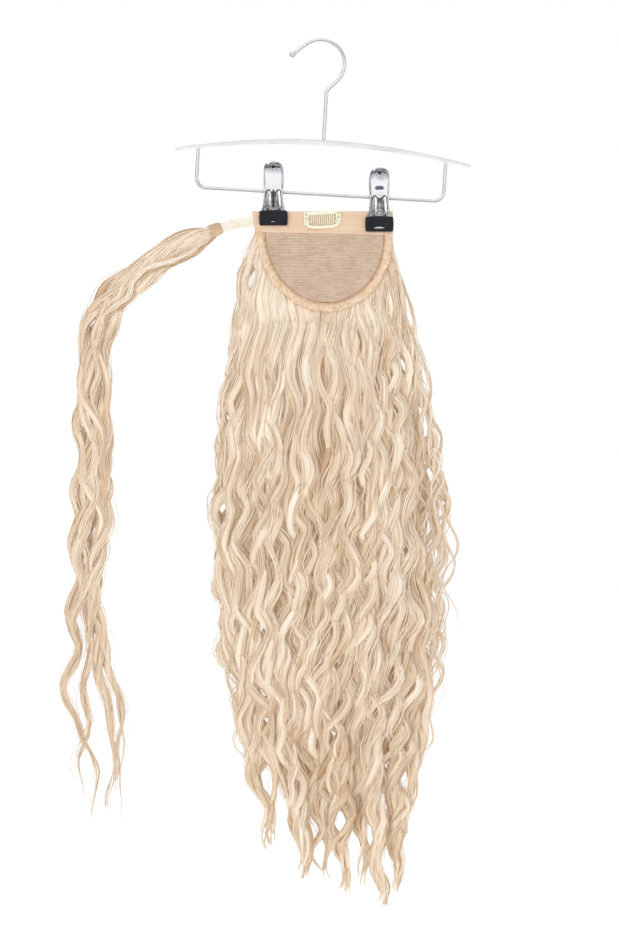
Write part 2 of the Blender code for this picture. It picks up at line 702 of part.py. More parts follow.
def build_side_lock(name, row, hair):
    drops_back = 8.0
    points = smooth_path([(x, FALL_TOP_Z - drop) for x, drop in row], 3 * len(row) - 2)
    path = in_plane(points)
    path[:, 1] = drops_back
    radius = SIDE_LOCK_R * np.clip(np.minimum(np.linspace(0.7, 3, len(path)), np.linspace(3, 0.6, len(path))), 0, 1)
    return loft(name, rings_along(path, round_section(5), np.stack([radius, radius * 0.8], axis=1)), hair)


def build_wrap_lock(hair):
    """The lock that is wound round the ponytail: it stands out from the strap, then hangs."""
    rows = table(WRAP_SECTIONS, WRAP_COLUMNS)
    centre = np.stack([rows["x"], rows["z"]], axis=1)
    count = 32
    steps = np.concatenate([[0.0], np.cumsum(np.linalg.norm(np.diff(centre, axis=0), axis=1))])
    wanted = np.linspace(0.0, steps[-1], count)
    path = in_plane(smooth_path(centre, count))
    side = across(path)
    growth = np.clip(wanted / 220.0, 0.0, 1.0)
    path = path + side * (2.6 * growth * np.sin(2 * math.pi * wanted / (WAVE_PERIOD * 1.15)))[:, None]
    size = np.stack([np.interp(wanted, steps, rows["width"]) / 2, np.interp(wanted, steps, rows["depth"]) / 2], axis=1)
    lobes = 5
    section = round_section(lobes * 3)
    section[::3] *= 0.74
    lock = loft("wrap_lock", rings_along(path, section, size), hair, sharp_deg=70)
    ends = []
    for i, row in enumerate(WRAP_TIPS):
        tip_path = in_plane(smooth_path(row, 2 * len(row) + 1))
        tip_path[:, 1] = 2.0 * (-1) ** i
        radius = tapered(np.linspace(0, 1, len(tip_path)), WRAP_TIP_R)
        ends.append(loft(f"wrap_tip_{i}", rings_along(tip_path, round_section(5), np.stack([radius, radius * 0.8], axis=1)), hair))
    combine(lock, ends, "UNION")


def main():
    clear_scene()
    hair = finish_material("hair", HAIR_BLOND, 0.45)
    cloth = finish_material("band_tape", BAND_PEACH, 0.6)
    net = finish_material("net", NET_BEIGE, 0.8)
    enamel = finish_material("comb_enamel", IVORY, 0.35)
    elastic = finish_material("elastic", CREAM, 0.7)
    thread = finish_material("root_thread", ROOT_BROWN, 0.7)
    steel = finish_material("satin_steel", SATIN_STEEL, 0.32, 1.0)
    paint = finish_material("white_paint", WHITE_PAINT, 0.4)
    chrome = finish_material("chrome", CHROME, 0.08, 1.0)
    rubber = finish_material("black_rubber", BLACK_RUBBER, 0.45)

    hanger = hanger_frame()
    build_hook(hanger, steel)
    build_bar(hanger, paint)
    build_rail(hanger, steel)
    build_clip("left", LEFT_CLIP_X, (chrome, rubber, steel))
    build_clip("right", RIGHT_CLIP_X, (chrome, rubber, steel))

    build_band(cloth)
    build_net(net)
    build_binding(cloth)
    comb = comb_frame()
    build_comb_plate(comb, enamel)
    build_comb_bow(comb, enamel)

    build_root(build_strap(elastic), thread)
    build_wrap_lock(hair)
    build_fall(hair)


main()
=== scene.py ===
"""A wrap-around ponytail of long wavy blond hair, hung by two spring clips from a small wire hanger.

Metres, +Z up, +X to the right and +Y away from the viewer, in the frame of the CAD model that it
dresses. The tables of sizes are in millimetres from the point inside the hook that bears on a rail.
"""

import math

import bpy
import numpy as np
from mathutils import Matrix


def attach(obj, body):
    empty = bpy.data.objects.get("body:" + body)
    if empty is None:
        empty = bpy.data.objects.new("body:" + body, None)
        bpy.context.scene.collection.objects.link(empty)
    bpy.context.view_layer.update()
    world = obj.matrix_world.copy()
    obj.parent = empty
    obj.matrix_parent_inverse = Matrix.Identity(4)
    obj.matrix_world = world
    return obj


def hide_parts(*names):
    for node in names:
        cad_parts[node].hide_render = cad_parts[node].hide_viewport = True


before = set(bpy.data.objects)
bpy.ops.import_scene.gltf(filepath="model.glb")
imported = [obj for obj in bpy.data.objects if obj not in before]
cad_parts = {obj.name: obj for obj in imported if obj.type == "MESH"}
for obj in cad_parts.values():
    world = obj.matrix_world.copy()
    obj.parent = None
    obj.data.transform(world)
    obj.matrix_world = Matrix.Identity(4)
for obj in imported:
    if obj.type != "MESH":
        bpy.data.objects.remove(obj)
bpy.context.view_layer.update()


# Camera. It stands level with the middle of the hanging piece and looks straight at its inner face,
# far enough back that the hanger and the hair keep their true proportions.
MM = 0.001
SENSOR, AWAY, VIEW_HIGH = 36.0, 2.6, 0.8045
lens = bpy.data.cameras.new("front_camera")
lens.sensor_width, lens.lens = SENSOR, SENSOR * AWAY / VIEW_HIGH
lens.clip_end = 60.0
camera = bpy.data.objects.new("front_camera", lens)
camera.location = (-0.0095, -AWAY, -0.3663)
camera.rotation_euler = (math.pi / 2, 0.0, 0.0)
bpy.context.scene.collection.objects.link(camera)
bpy.context.scene.camera = camera


# Hook, shank and clip rail. Bright drawn steel wire of 3 mm, bent cold: the hook ends in a small
# upset ball, its arc leans back over a tight bend into the shank, and the rail drops from the bar.
GAP = 0.3
TILT = math.radians(3.3)  # the hanger hangs a little lower on its right
WIRE_R = 1.5
HOOK_R, HOOK_MIDDLE = 20.8, -19.3
SHANK_X, BAR_Z, BAR_REACH, BAR_DROP = 6.6, -68.0, 128.6, 13.2
RAIL_REACH, RAIL_Z, RAIL_CORNER = 107.2, -112.85, 8.5
BALL_R, LEAD_LENGTH = 2.7, 12.5  # the ball at the hook's tip, on a straight lead


def tone(code):
    """A screen colour of six hexadecimal digits as the linear values that a shader takes."""
    screen = np.array([int(code[i : i + 2], 16) for i in (0, 2, 4)]) / 255.0
    linear = np.where(screen < 0.04045, screen / 12.92, ((screen + 0.055) / 1.055) ** 2.4)
    return (*linear.tolist(), 1.0)


class Reading:
    """A value read from a socket of a material. Sums, products and powers of readings and numbers
    add their Math nodes."""

    def __init__(self, tree, socket):
        self.tree, self.socket = tree, socket

    def node(self, kind, settings=None, values=None, out=0):
        """Another node of the same material: its settings first, then its sockets' values or links."""
        made = self.tree.nodes.new("ShaderNode" + kind)
        for key, value in (settings or {}).items():
            if key == "stops":
                stops = made.color_ramp.elements
                stops.remove(stops[1])
                stops[0].position, stops[0].color = value[0]
                for place, colour in value[1:]:
                    stops.new(place).color = colour
            else:
                setattr(made, key, value)
        for key, value in (values or {}).items():
            if isinstance(value, Reading):
                self.tree.links.new(value.socket, made.inputs[key])
            else:
                made.inputs[key].default_value = value
        return Reading(self.tree, made.outputs[out])

    def part(self, number):
        """One of the three numbers of a place or direction."""
        return self.node("SeparateXYZ", {}, {0: self}, out=number)

    def worked(self, operation, first, second):
        """The result of a Math node on two values."""
        return self.node("Math", {"operation": operation}, {0: first, 1: second})

    def __add__(self, other):
        return self.worked("ADD", self, other)

    def __sub__(self, other):
        return self.worked("SUBTRACT", self, other)

    def __rsub__(self, other):
        return self.worked("SUBTRACT", other, self)

    def __mul__(self, other):
        return self.worked("MULTIPLY", self, other)

    def __pow__(self, other):
        return self.worked("POWER", self, other)

    __radd__ = __add__
    __rmul__ = __mul__


def new_finish(name, **plain):
    """A material whose shader has these plain values, and the reading of a point's place on the piece."""
    material = bpy.data.materials.new(name)
    material.use_nodes = True
    shader = material.node_tree.nodes["Principled BSDF"]
    for key, value in plain.items():
        shader.inputs[key.replace("_", " ")].default_value = value
    place = material.node_tree.nodes.new("ShaderNodeTexCoord")
    return material, Reading(material.node_tree, place.outputs["Object"])


def feed(material, **readings):
    """Links readings to the sockets of the material's shader."""
    for key, value in readings.items():
        shader = material.node_tree.nodes["Principled BSDF"]
        material.node_tree.links.new(value.socket, shader.inputs[key.replace("_", " ")])


def grain(place, sizes, detail=2.0):
    """Noise from 0 to 1, with grains of these sizes along the three axes of the place."""
    scale = tuple(1.0 / size for size in sizes)
    stretched = place.node("VectorMath", {"operation": "MULTIPLY"}, {0: place, 1: scale})
    return stretched.node("TexNoise", {}, {"Vector": stretched, "Scale": 1.0, "Detail": detail})


def between(share, stops):
    """The colour at a share from 0 to 1 along stops of (share, screen colour)."""
    return share.node("ValToRGB", {"stops": [(at, tone(code)) for at, code in stops]}, {0: share})


def relief(height, depth):
    """The normal of a surface that stands depth metres proud where the height is 1."""
    return height.node("Bump", {}, {"Height": height, "Distance": depth})


def frames(paths):
    """Along each path of shape (paths, rings, 3): its heading t, s = t x Y and d = t x s, each of unit
    length."""
    along = np.gradient(paths, axis=1)
    along /= np.linalg.norm(along, axis=2)[..., None]
    side = np.cross(along, (0.0, 1.0, 0.0))
    side /= np.linalg.norm(side, axis=2)[..., None]
    return along, side, np.cross(along, side)


def rods(paths, wide, deep, section, turn=0.0):
    """Closed rods along paths of shape (rods, rings, 3): path + s wide cos + d deep sin, where the
    section gives (cos, sin), and s and d are those of the path's frames, turned round it by turn."""
    paths = paths.reshape(-1, *paths.shape[-2:])
    count, rings = paths.shape[:2]
    wide, deep, turn = (np.broadcast_to(v, (count, rings)) for v in (wide, deep, turn))
    _, side, back = frames(paths)
    cosine, sine = np.cos(turn)[..., None], np.sin(turn)[..., None]
    side, back = side * cosine + back * sine, back * cosine - side * sine
    sides = len(section)
    points = (
        paths[:, :, None]
        + side[:, :, None] * (section[:, 0, None] * wide[..., None, None])
        + back[:, :, None] * (section[:, 1, None] * deep[..., None, None])
    ).reshape(-1, 3)
    at = np.arange(count * rings * sides).reshape(count, rings, sides)
    after = np.roll(at, -1, axis=2)
    quads = np.stack([at[:, :-1], after[:, :-1], after[:, 1:], at[:, 1:]], axis=3).reshape(-1, 4)
    return points, [quads, at[:, 0, ::-1], at[:, -1]]


def shell(rings):
    """A closed solid through rings of one count, flat at both ends, its faces turned outwards by the
    sign of its volume."""
    count, around = rings.shape[:2]
    at = np.arange(count * around).reshape(count, around)
    after = np.roll(at, -1, axis=1)
    quads = np.stack([at[:-1], after[:-1], after[1:], at[1:]], axis=2).reshape(-1, 4)
    points = rings.reshape(-1, 3).astype(float)
    a, b, c, d = (points[quads[:, k]] - points.mean(axis=0) for k in range(4))
    volume = (a * np.cross(b, c) + a * np.cross(c, d)).sum()
    faces = [quads, at[:1, ::-1], at[-1:]]
    return points, faces if volume > 0 else [f[:, ::-1] for f in faces]


def joined(shapes):
    """Several shapes as one."""
    starts = np.cumsum([0] + [len(points) for points, _ in shapes])
    return np.concatenate([points for points, _ in shapes]), [
        face + start for (_, faces), start in zip(shapes, starts) for face in faces
    ]


def new_piece(name, shape, material, stands_for=(), body="root", sharp=None):
    """One smooth object from a shape in millimetres, riding on its body."""
    points, faces = shape
    sizes = np.concatenate([np.full(len(face), face.shape[1]) for face in faces])
    corners = np.concatenate([face.ravel() for face in faces])
    mesh = bpy.data.meshes.new(name)
    mesh.vertices.add(len(points))
    mesh.vertices.foreach_set("co", (points * MM).astype(np.float32).ravel())
    mesh.loops.add(len(corners))
    mesh.loops.foreach_set("vertex_index", corners.astype(np.int32))
    mesh.polygons.add(len(sizes))
    mesh.polygons.foreach_set("loop_start", (np.cumsum(sizes) - sizes).astype(np.int32))
    mesh.update(calc_edges=True)
    mesh.shade_smooth()
    if sharp:
        mesh.set_sharp_from_angle(angle=math.radians(sharp))
    mesh.materials.append(material)
    made = bpy.data.objects.new(name, mesh)
    bpy.context.scene.collection.objects.link(made)
    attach(made, body)
    if stands_for:
        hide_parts(*stands_for)
    return made


def round_section(sides, power=1.0):
    """(cos, sin) round a circle, or with a power below 1 round an oblong with rounded corners."""
    angle = np.arange(sides) * 2 * math.pi / sides
    both = np.stack([np.cos(angle), np.sin(angle)], axis=1)
    return np.sign(both) * np.abs(both) ** power


def arc(middle, radius, start, end, steps):
    """(x, z) points of an arc, from one angle in degrees to the other."""
    angle = np.radians(np.linspace(start, end, steps))
    return np.stack([middle[0] + radius * np.cos(angle), middle[1] + radius * np.sin(angle)], axis=1)


def in_plane(points, y=0.0):
    """(x, z) points as (x, y, z)."""
    points = np.asarray(points, float)
    return np.stack([points[:, 0], np.full(len(points), y), points[:, 1]], axis=1)


def placed(shape, x, z, tilt=0.0):
    """A shape turned about its own Y axis by a tilt, its right end down, and moved to (x, z)."""
    points, faces = shape
    along, up = points[:, 0], points[:, 2]
    cosine, sine = math.cos(tilt), math.sin(tilt)
    turned = (x + along * cosine + up * sine, points[:, 1], z - along * sine + up * cosine)
    return np.stack(turned, axis=1), faces


def hung(shape):
    """A shape turned with the hanger, about the middle of the hook's arc."""
    return placed(shape, 0.0, HOOK_MIDDLE, TILT)


def bar_middle(share):
    """The bar's middle line drops with the square of the share of its reach."""
    return BAR_Z - BAR_DROP * share**2


def bar_half_height(share):
    return 2.3 - 1.0 * np.abs(share) ** 1.5


lead_angle = math.radians(130.0)
lead = np.array((-math.sin(lead_angle), math.cos(lead_angle)))
hook_tip = HOOK_R * np.array((math.cos(lead_angle), math.sin(lead_angle))) + lead * LEAD_LENGTH
ball_step = -np.cos(np.linspace(0.12, 2.5, 14))
hook_line = np.concatenate(
    [
        (hook_tip + lead * BALL_R * 0.8) - lead * BALL_R * ball_step[:, None],
        [hook_tip - lead * 1.6],
        arc((0, 0), HOOK_R, 130, -42, 64),
        arc((SHANK_X + 9, -26.5), 9, 132, 180, 12),
        [(SHANK_X, z) for z in (-40, -52, BAR_Z + bar_half_height(0.0) + GAP)],
    ]
)
wire_radius = np.full(len(hook_line) - len(ball_step), WIRE_R)
hook_radius = np.concatenate([BALL_R * np.sqrt(1 - ball_step**2), wire_radius])

rail_top = bar_middle(RAIL_REACH / BAR_REACH) - bar_half_height(RAIL_REACH / BAR_REACH) - 2 * GAP
rail_middle = SHANK_X - 0.7
rail_line = np.concatenate(
    [
        [(rail_middle - RAIL_REACH, rail_top)],
        arc((rail_middle - RAIL_REACH + RAIL_CORNER, RAIL_Z + RAIL_CORNER), RAIL_CORNER, 180, 270, 16),
        arc((rail_middle + RAIL_REACH - RAIL_CORNER, RAIL_Z + RAIL_CORNER), RAIL_CORNER, 270, 360, 16),
        [(rail_middle + RAIL_REACH, rail_top)],
    ]
)

satin_steel, place = new_finish("satin_steel", Metallic=1.0)
drawn = grain(place, (0.02, 0.0004, 0.0006), 3)
dull = grain(place, (0.012, 0.012, 0.012), 3)
feed(
    satin_steel,
    Base_Color=between(drawn * 0.5 + dull * 0.5, [(0.25, "DEDEE1"), (0.75, "F6F6F8")]),
    Roughness=dull * 0.18 + 0.36,
    Normal=relief(drawn, 0.00003),
)
for wire_name, line, radius in (("hanger_hook", hook_line, hook_radius), ("clip_rail", rail_line, WIRE_R)):
    wire = rods(in_plane(line), radius, radius, round_section(20))
    new_piece(wire_name + "_wire", hung(wire), satin_steel, [wire_name], sharp=60)


# Arched bar. A slim wooden or moulded bar, deepest in the middle, thinning to rounded tips, under a
# thick coat of white lacquer that has pooled a little in its hollows.
bar_share = np.sin(np.linspace(-math.pi / 2, math.pi / 2, 121))
bar_close = np.sqrt(np.clip(1 - np.clip((np.abs(bar_share) - 0.972) / 0.028, 0, 1) ** 2, 0.03, 1))
bar_shape = rods(
    in_plane(np.stack([SHANK_X + bar_share * BAR_REACH, bar_middle(bar_share)], axis=1)),
    bar_half_height(bar_share) * bar_close,
    (4.6 - 2.2 * np.abs(bar_share)) * bar_close,
    round_section(28, 0.72),
)
white_lacquer, place = new_finish("white_lacquer", Coat_Weight=0.4, Coat_Roughness=0.12)
pooled = grain(place, (0.03, 0.006, 0.006), 3)
fine = grain(place, (0.0009, 0.0009, 0.0009), 2)
feed(
    white_lacquer,
    Base_Color=between(pooled, [(0.3, "DCDCDE"), (0.7, "E9E9EA")]),
    Roughness=pooled * 0.2 + 0.3,
    Normal=relief(pooled * 0.9 + fine * 0.1, 0.00018),
)
new_piece("arched_bar", hung(bar_shape), white_lacquer, ["hanger_bar"])


# Spring clips. Each is two chromed jaws pressed from sheet, with a drilled thumb end, a dished pad and
# flutes below, sprung apart round the rail by a wire coil, and gripping with moulded rubber feet.
CLIPS = {
    # place, depth of the pad's dish, half width of the foot's window and of the groove painted dark as shade
    "left": (-40.7, 0.7, 1.7, 0.9),
    "right": (50.9, 1.6, 4.3, 0.0),
}
JAW_ROWS = np.array([
    # height, half width, stand-off, bulge
    (-16.2, 10.4, 1.7, 0.45),
    (-14.0, 9.7, 1.97, 0.5),
    (-9.0, 8.8, 2.6, 0.5),
    (-3.0, 8.3, 3.35, 0.5),
    (1.5, 8.2, 3.95, 0.6),
    (7.0, 8.5, 5.4, 1.3),
    (15.0, 8.7, 8.0, 1.6),
    (21.0, 8.0, 9.8, 1.2),
    (24.0, 5.9, 10.4, 0.7),
    (25.2, 3.0, 10.6, 0.2),
])
JAW_THICK, JAW_HOLE_R, JAW_HOLE_HEIGHT = 1.0, 1.5, 20.4
PAD_HEIGHT, PAD_REACH, DOME_HEIGHT, DOME_HIGH, DOME_HALF = 12.2, 6.2, 15.5, 9.6, 8.7
FOOT_WIDTH, FOOT_THICK, FOOT_TOP, FOOT_HEIGHT, FOOT_EDGE = 24.6, 3.0, -16.5, 12.8, 1.4
WINDOW_HEIGHT = -26.1


def smooth_through(known_at, known, wanted):
    """A smooth curve through known values (cubic Hermite with mean slopes)."""
    slopes = np.gradient(known, known_at, axis=0)
    at = np.clip(np.searchsorted(known_at, wanted, side="right") - 1, 0, len(known_at) - 2)
    span = known_at[at + 1] - known_at[at]
    t = (wanted - known_at[at]) / span
    if known.ndim > 1:
        t, span = t[..., None], span[..., None]
    return (
        known[at] * (2 * t**3 - 3 * t**2 + 1)
        + slopes[at] * span * (t**3 - 2 * t**2 + t)
        + known[at + 1] * (3 * t**2 - 2 * t**3)
        + slopes[at + 1] * span * (t**3 - t**2)
    )


def eased(value, low, high):
    """0 below low, 1 above high, and a smooth step between."""
    t = np.clip((value - low) / (high - low), 0, 1)
    return t * t * (3 - 2 * t)


def rail_height(x):
    """Height of the tilted rail's middle at a distance x to the side."""
    along = (x - RAIL_Z * math.sin(TILT)) / math.cos(TILT)
    return HOOK_MIDDLE - along * math.sin(TILT) + RAIL_Z * math.cos(TILT)


def jaw_shape(side, dish):
    """A pressed sheet: over (across, height) its outer face stands off by the table's curve, bowed
    towards its middle, dished at the thumb pad and fluted below. side is -1 at the front, 1 behind."""
    swept = np.linspace(0, math.pi / 2 - 0.02, 28)
    dome = DOME_HEIGHT + DOME_HIGH * np.sin(swept) ** 0.77
    height = np.concatenate([np.linspace(-16.2, DOME_HEIGHT - 0.4, 42), dome])
    half, stand, bulge = smooth_through(JAW_ROWS[:, 0], JAW_ROWS[:, 1:], height).T[..., None]
    half = np.concatenate([half[:42, 0], DOME_HALF * np.cos(swept) ** 0.77])[:, None]
    share = np.sin(np.linspace(-math.pi / 2, math.pi / 2, 29))[None, :]
    height = np.repeat(height[:, None], 29, axis=1)
    bow = 1 - 0.6 * share**2 - 0.4 * share**6
    pad = np.exp(-(((height - PAD_HEIGHT) / PAD_REACH) ** 2)) * (1 - eased(np.abs(share), 0.2, 0.95))
    low = eased(height, -15.5, -11.0) * (1 - eased(height, -3.0, 6.5))
    flutes = 0.5 * np.cos(2 * math.pi * share * 2.0) - 1.2 * np.exp(-((share / 0.15) ** 2))
    out = stand + bulge * bow - dish * pad + low * flutes * (1 - eased(np.abs(share), 0.7, 1.0))
    x = half * share
    rim = 0.9 * eased(np.abs(share), 0.84, 1.0)  # the sheet's edge is turned in
    outside = np.stack([x, side * (out + JAW_THICK - rim), height], axis=2)
    inside = np.stack([x * 0.93, side * (out - 0.3 * rim), height], axis=2)
    return shell(np.concatenate([outside, inside[:, ::-1]], axis=1))


def foot_shape(side):
    """A moulded block: rings down its height, drawn in by a quarter circle at the top and bottom."""
    turn = np.linspace(0, math.pi / 2, 6)
    inset = np.concatenate([1 - np.sin(turn), np.zeros(10), (1 - np.sin(turn))[::-1]])
    straight = np.linspace(-FOOT_EDGE, FOOT_EDGE - FOOT_HEIGHT, 10)
    height = np.concatenate([np.cos(turn) - 1, straight, (1 - np.cos(turn))[::-1] - FOOT_HEIGHT])
    flare = 0.25 * np.cos(np.linspace(-3.2, 3.2, len(height)))
    section = round_section(48, 0.28)
    wide = FOOT_WIDTH / 2 - inset - 0.25 + flare
    deep = FOOT_THICK / 2 - 0.6 * inset
    near = side * (1.0 + GAP + FOOT_THICK / 2)
    rings = np.stack(
        [
            wide[:, None] * section[:, 0],
            near + deep[:, None] * section[:, 1],
            np.broadcast_to((FOOT_TOP + height)[:, None], (len(height), 48)),
        ],
        axis=2,
    )
    return shell(rings)


def lens_shape(side, wide):
    """A small lens-shaped window near the foot's lower edge, where the jaw's metal shows."""
    across = np.linspace(-1, 1, 25)
    bulge = np.sqrt(np.clip(1 - across**2, 0.02, 1))
    face = side * (1.0 + GAP + FOOT_THICK)
    rings = []
    for high, proud in ((-0.9, 0.0), (0.9, 0.0), (0.9, 0.12), (-0.3, 0.2), (-0.9, 0.12)):
        height = WINDOW_HEIGHT + bulge * high * wide / 4.3 - 0.35 * across**2
        rings.append(np.stack([across * wide, np.full(25, face + side * (proud - 0.06)), height], axis=1))
    return shell(np.stack(rings, axis=1))


def coil_shape(turns=11, spring_r=2.75, wire_r=0.42, length=12.4):
    """A helix round the rail's line: wire of radius wire_r at spring_r from the middle."""
    along = np.linspace(0, 1, turns * 22)[:, None]
    around = np.arange(8)[None, :] * 2 * math.pi / 8
    angle = along * turns * 2 * math.pi
    reach = spring_r + wire_r * np.cos(around)
    x = (along - 0.5) * length + wire_r * np.sin(around)
    return shell(np.stack([x, reach * np.cos(angle), reach * np.sin(angle)], axis=2))


chrome, place = new_finish("chrome", Metallic=1.0)
rubbed = grain(place, (0.004, 0.004, 0.009), 4)
hairline = grain(place, (0.0003, 0.0003, 0.006), 2)
square = {0: place, 1: (math.sin(TILT), 0.0, math.cos(TILT))}
above_rail = place.node("VectorMath", {"operation": "DOT_PRODUCT"}, square, out=1) - rail_height(0.0) * MM
# Painted reflection: the chrome's colour runs by height up the clip, grey low on the flutes, white over the
# pad and grey again at the dome.
pressed = [(0.1, "CDCECA"), (0.36, "D4D5D4"), (0.52, "F4F5F6"), (0.84, "F7F8F9"), (0.98, "B4B6B9")]
feed(
    chrome,
    Base_Color=between(rubbed * 0.2 + above_rail * 30.0 + 0.3, pressed),
    Roughness=rubbed * 0.1 + hairline * 0.05 + 0.03,
    Normal=relief(rubbed * 0.7 + hairline * 0.3, 0.00006),
)
# Painted shade: a dark metal for the faces that look inwards, the hole's walls among them, and down the left
# clip's groove.
painted_shade_metal, place = new_finish("painted_shade_metal", Metallic=0.7)
shade_mottle = grain(place, (0.003, 0.003, 0.003), 3)
feed(
    painted_shade_metal,
    Base_Color=between(shade_mottle, [(0.3, "2A2B2E"), (0.7, "4C4D51")]),
    Roughness=shade_mottle * 0.3 + 0.4,
    Normal=relief(shade_mottle, 0.00004),
)
black_rubber, place = new_finish("black_rubber", Specular_IOR_Level=0.35)
pebble = grain(place, (0.0006, 0.0006, 0.0006), 3)
dust = grain(place, (0.007, 0.007, 0.004), 4)
feed(
    black_rubber,
    Base_Color=between(dust, [(0.35, "0B0C10"), (0.8, "1D1F26")]),
    Roughness=dust * 0.25 + 0.35,
    Normal=relief(pebble, 0.00008),
)
for label, (clip_x, dish, window, shaded_groove_half) in CLIPS.items():
    rail_z = rail_height(clip_x)
    for side, face in ((-1, "front"), (1, "back")):
        node = f"{label}_clip_{face}"
        jaw_at = placed(jaw_shape(side, dish), clip_x, rail_z)
        jaw = new_piece(node + "_pressed_jaw", jaw_at, chrome, [node + "_jaw"], sharp=50)
        ring = (JAW_HOLE_R if side < 0 else 0.8 * JAW_HOLE_R) * round_section(32)
        drill = shell(np.stack([np.insert(ring, 1, side * y, axis=1) for y in (4.0, 16.0)]))
        cutter = new_piece("drill", placed(drill, clip_x, rail_z + JAW_HOLE_HEIGHT), chrome)
        cut = jaw.modifiers.new("Drilled hole", "BOOLEAN")
        cut.operation, cut.solver, cut.object = "DIFFERENCE", "EXACT", cutter
        drilled = bpy.data.meshes.new_from_object(jaw.evaluated_get(bpy.context.evaluated_depsgraph_get()))
        jaw.modifiers.clear()
        jaw.data = drilled
        bpy.data.objects.remove(cutter)
        drilled.materials.append(painted_shade_metal)
        facing, centre = np.empty((2, len(drilled.polygons), 3), np.float32)
        drilled.polygons.foreach_get("normal", facing.ravel())
        drilled.polygons.foreach_get("center", centre.ravel())
        across, height = centre[:, 0] / MM - clip_x, centre[:, 2] / MM - rail_z
        # Inward faces and the groove take the dark metal as painted shade.
        groove = (np.abs(across) < shaded_groove_half) & (np.abs(height + 6.5) < 7.5)
        dark = (facing[:, 1] * side < -0.1) | groove
        drilled.polygons.foreach_set("material_index", dark.astype(np.int32))
        foot = placed(foot_shape(side), clip_x, rail_z)
        new_piece(node + "_rubber_foot", foot, black_rubber, [node + "_foot"], sharp=50)
        new_piece(node + "_window", placed(lens_shape(side, window), clip_x, rail_z), chrome)
    coil = placed(coil_shape(), clip_x, rail_z, TILT)
    new_piece(label + "_coil_spring", coil, satin_steel, [label + "_clip_spring"])


# Top band. A peach satin tape folded over on itself and pressed flat, its lower fold caught down by a
# row of small stitches that also holds the net.
BAND_LEFT, BAND_RIGHT, BAND_TOP = -59.3, 62.7, -146.9
BAND_DEEP_LEFT, BAND_DEEP_RIGHT = 17.8, 20.3


def band_bottom(x):
    """Height of the band's lower edge, which slopes down to the right."""
    share = (x - BAND_LEFT) / (BAND_RIGHT - BAND_LEFT)
    return BAND_TOP - BAND_DEEP_LEFT - (BAND_DEEP_RIGHT - BAND_DEEP_LEFT) * share


def tape_section(rows):
    """(share across a tape, depth from -1 in front to 1 behind) round its flattened section."""
    edge = np.linspace(-math.pi / 2, math.pi / 2, 7)[1:-1]
    front = np.stack([np.linspace(0.03, 0.97, rows), np.full(rows, -1.0)], axis=1)
    low = np.stack([0.97 + 0.03 * np.cos(edge), np.sin(edge)], axis=1)
    rear = np.stack([np.linspace(0.97, 0.03, rows), np.full(rows, 1.0)], axis=1)
    high = np.stack([0.03 - 0.03 * np.cos(edge), -np.sin(edge)], axis=1)
    return np.concatenate([front, low, rear, high])


def way_along(lines):
    """The way walked along one or more lines of points, at each point."""
    steps = np.linalg.norm(np.diff(lines, axis=-2), axis=-1)
    return np.cumsum(np.concatenate([0 * steps[..., :1], steps], axis=-1), axis=-1)


def stitches(line, length, gap, radius, lift):
    """Short threads along a line of (x, y, z) points: each a small rod that dives in at both ends."""
    walked = way_along(line)
    count = int(walked[-1] / (length + gap))
    share = np.linspace(0, 1, 6)
    at = (np.arange(count)[:, None] + 0.1) * (length + gap) + share * length
    path = np.stack([np.interp(at, walked, line[:, k]) for k in range(3)], axis=2)
    path[:, :, 1] -= lift * np.sin(math.pi * share) - 0.1
    return rods(path, radius * (0.7 + 0.3 * np.sin(math.pi * share)), radius * 0.8, round_section(6))


def ribs(place, direction, scale, distortion, detail):
    """Waves from 0 to 1 across a direction, for woven ribs."""
    values = {"Vector": place, "Scale": scale, "Distortion": distortion, "Detail": detail}
    return place.node("TexWave", {"wave_type": "BANDS", "bands_direction": direction}, values, out=1)


band_share = np.linspace(0, 1, 110)
band_x = BAND_LEFT + (BAND_RIGHT - BAND_LEFT) * band_share
section = tape_section(28)
down = section[:, 0][None, :]
band_at = band_x[:, None] + 2.6 * down * np.clip(1 - band_share * 12, 0, 1)[:, None]
depth = BAND_TOP - band_bottom(band_x)[:, None]
fold = np.exp(-(((1 - down) * depth - 2.9) / 0.45) ** 2)
ripple = 0.10 * np.sin(band_at / 9.0 + 1.0) * np.sin(down * 7) + 0.07 * np.sin(band_at / 3.7 + down * 4)
band_y = section[:, 1] * (0.97 - 0.36 * fold) + ripple * (1 - np.abs(down - 0.5) * 1.2)
band_rings = np.stack([band_at, np.clip(band_y, -1.05, 1.05), BAND_TOP - down * depth], axis=2)

band_tape, place = new_finish("band_tape", Sheen_Weight=0.35, Sheen_Roughness=0.4, Specular_IOR_Level=0.35)
across_ribs = ribs(place, "Z", 420.0, 0.6, 1.0)
worn = grain(place, (0.02, 0.02, 0.012), 3)
yarn = grain(place, (0.0016, 0.002, 0.00035), 2)
feed(
    band_tape,
    Base_Color=between(worn * 0.6 + yarn * 0.4, [(0.3, "E4C2A0"), (0.55, "EDD0B2"), (0.8, "F3DCC2")]),
    Roughness=yarn * 0.2 + 0.45,
    Normal=relief(across_ribs * 0.5 + yarn * 0.5, 0.00012),
)
band = new_piece("top_band_tape", shell(band_rings), band_tape, ["top_band"], sharp=50)
peach_thread, place = new_finish("peach_thread", Sheen_Weight=0.3)
ply = grain(place, (0.0005, 0.0005, 0.0005), 2)
feed(
    peach_thread,
    Base_Color=between(ply, [(0.3, "D9AC84"), (0.7, "EFCDAB")]),
    Roughness=ply * 0.2 + 0.5,
    Normal=relief(ply, 0.00005),
)
seam_x = np.linspace(BAND_LEFT + 4, BAND_RIGHT - 3, 120)
seam_z = band_bottom(seam_x) + 2.9 + 0.15 * np.sin(seam_x)
seam_line = np.stack([seam_x, np.full(120, -0.68), seam_z], axis=1)
seam = stitches(seam_line, 1.7, 0.9, 0.2, 0.12)
band_seam = new_piece("top_band_stitches", seam, peach_thread)


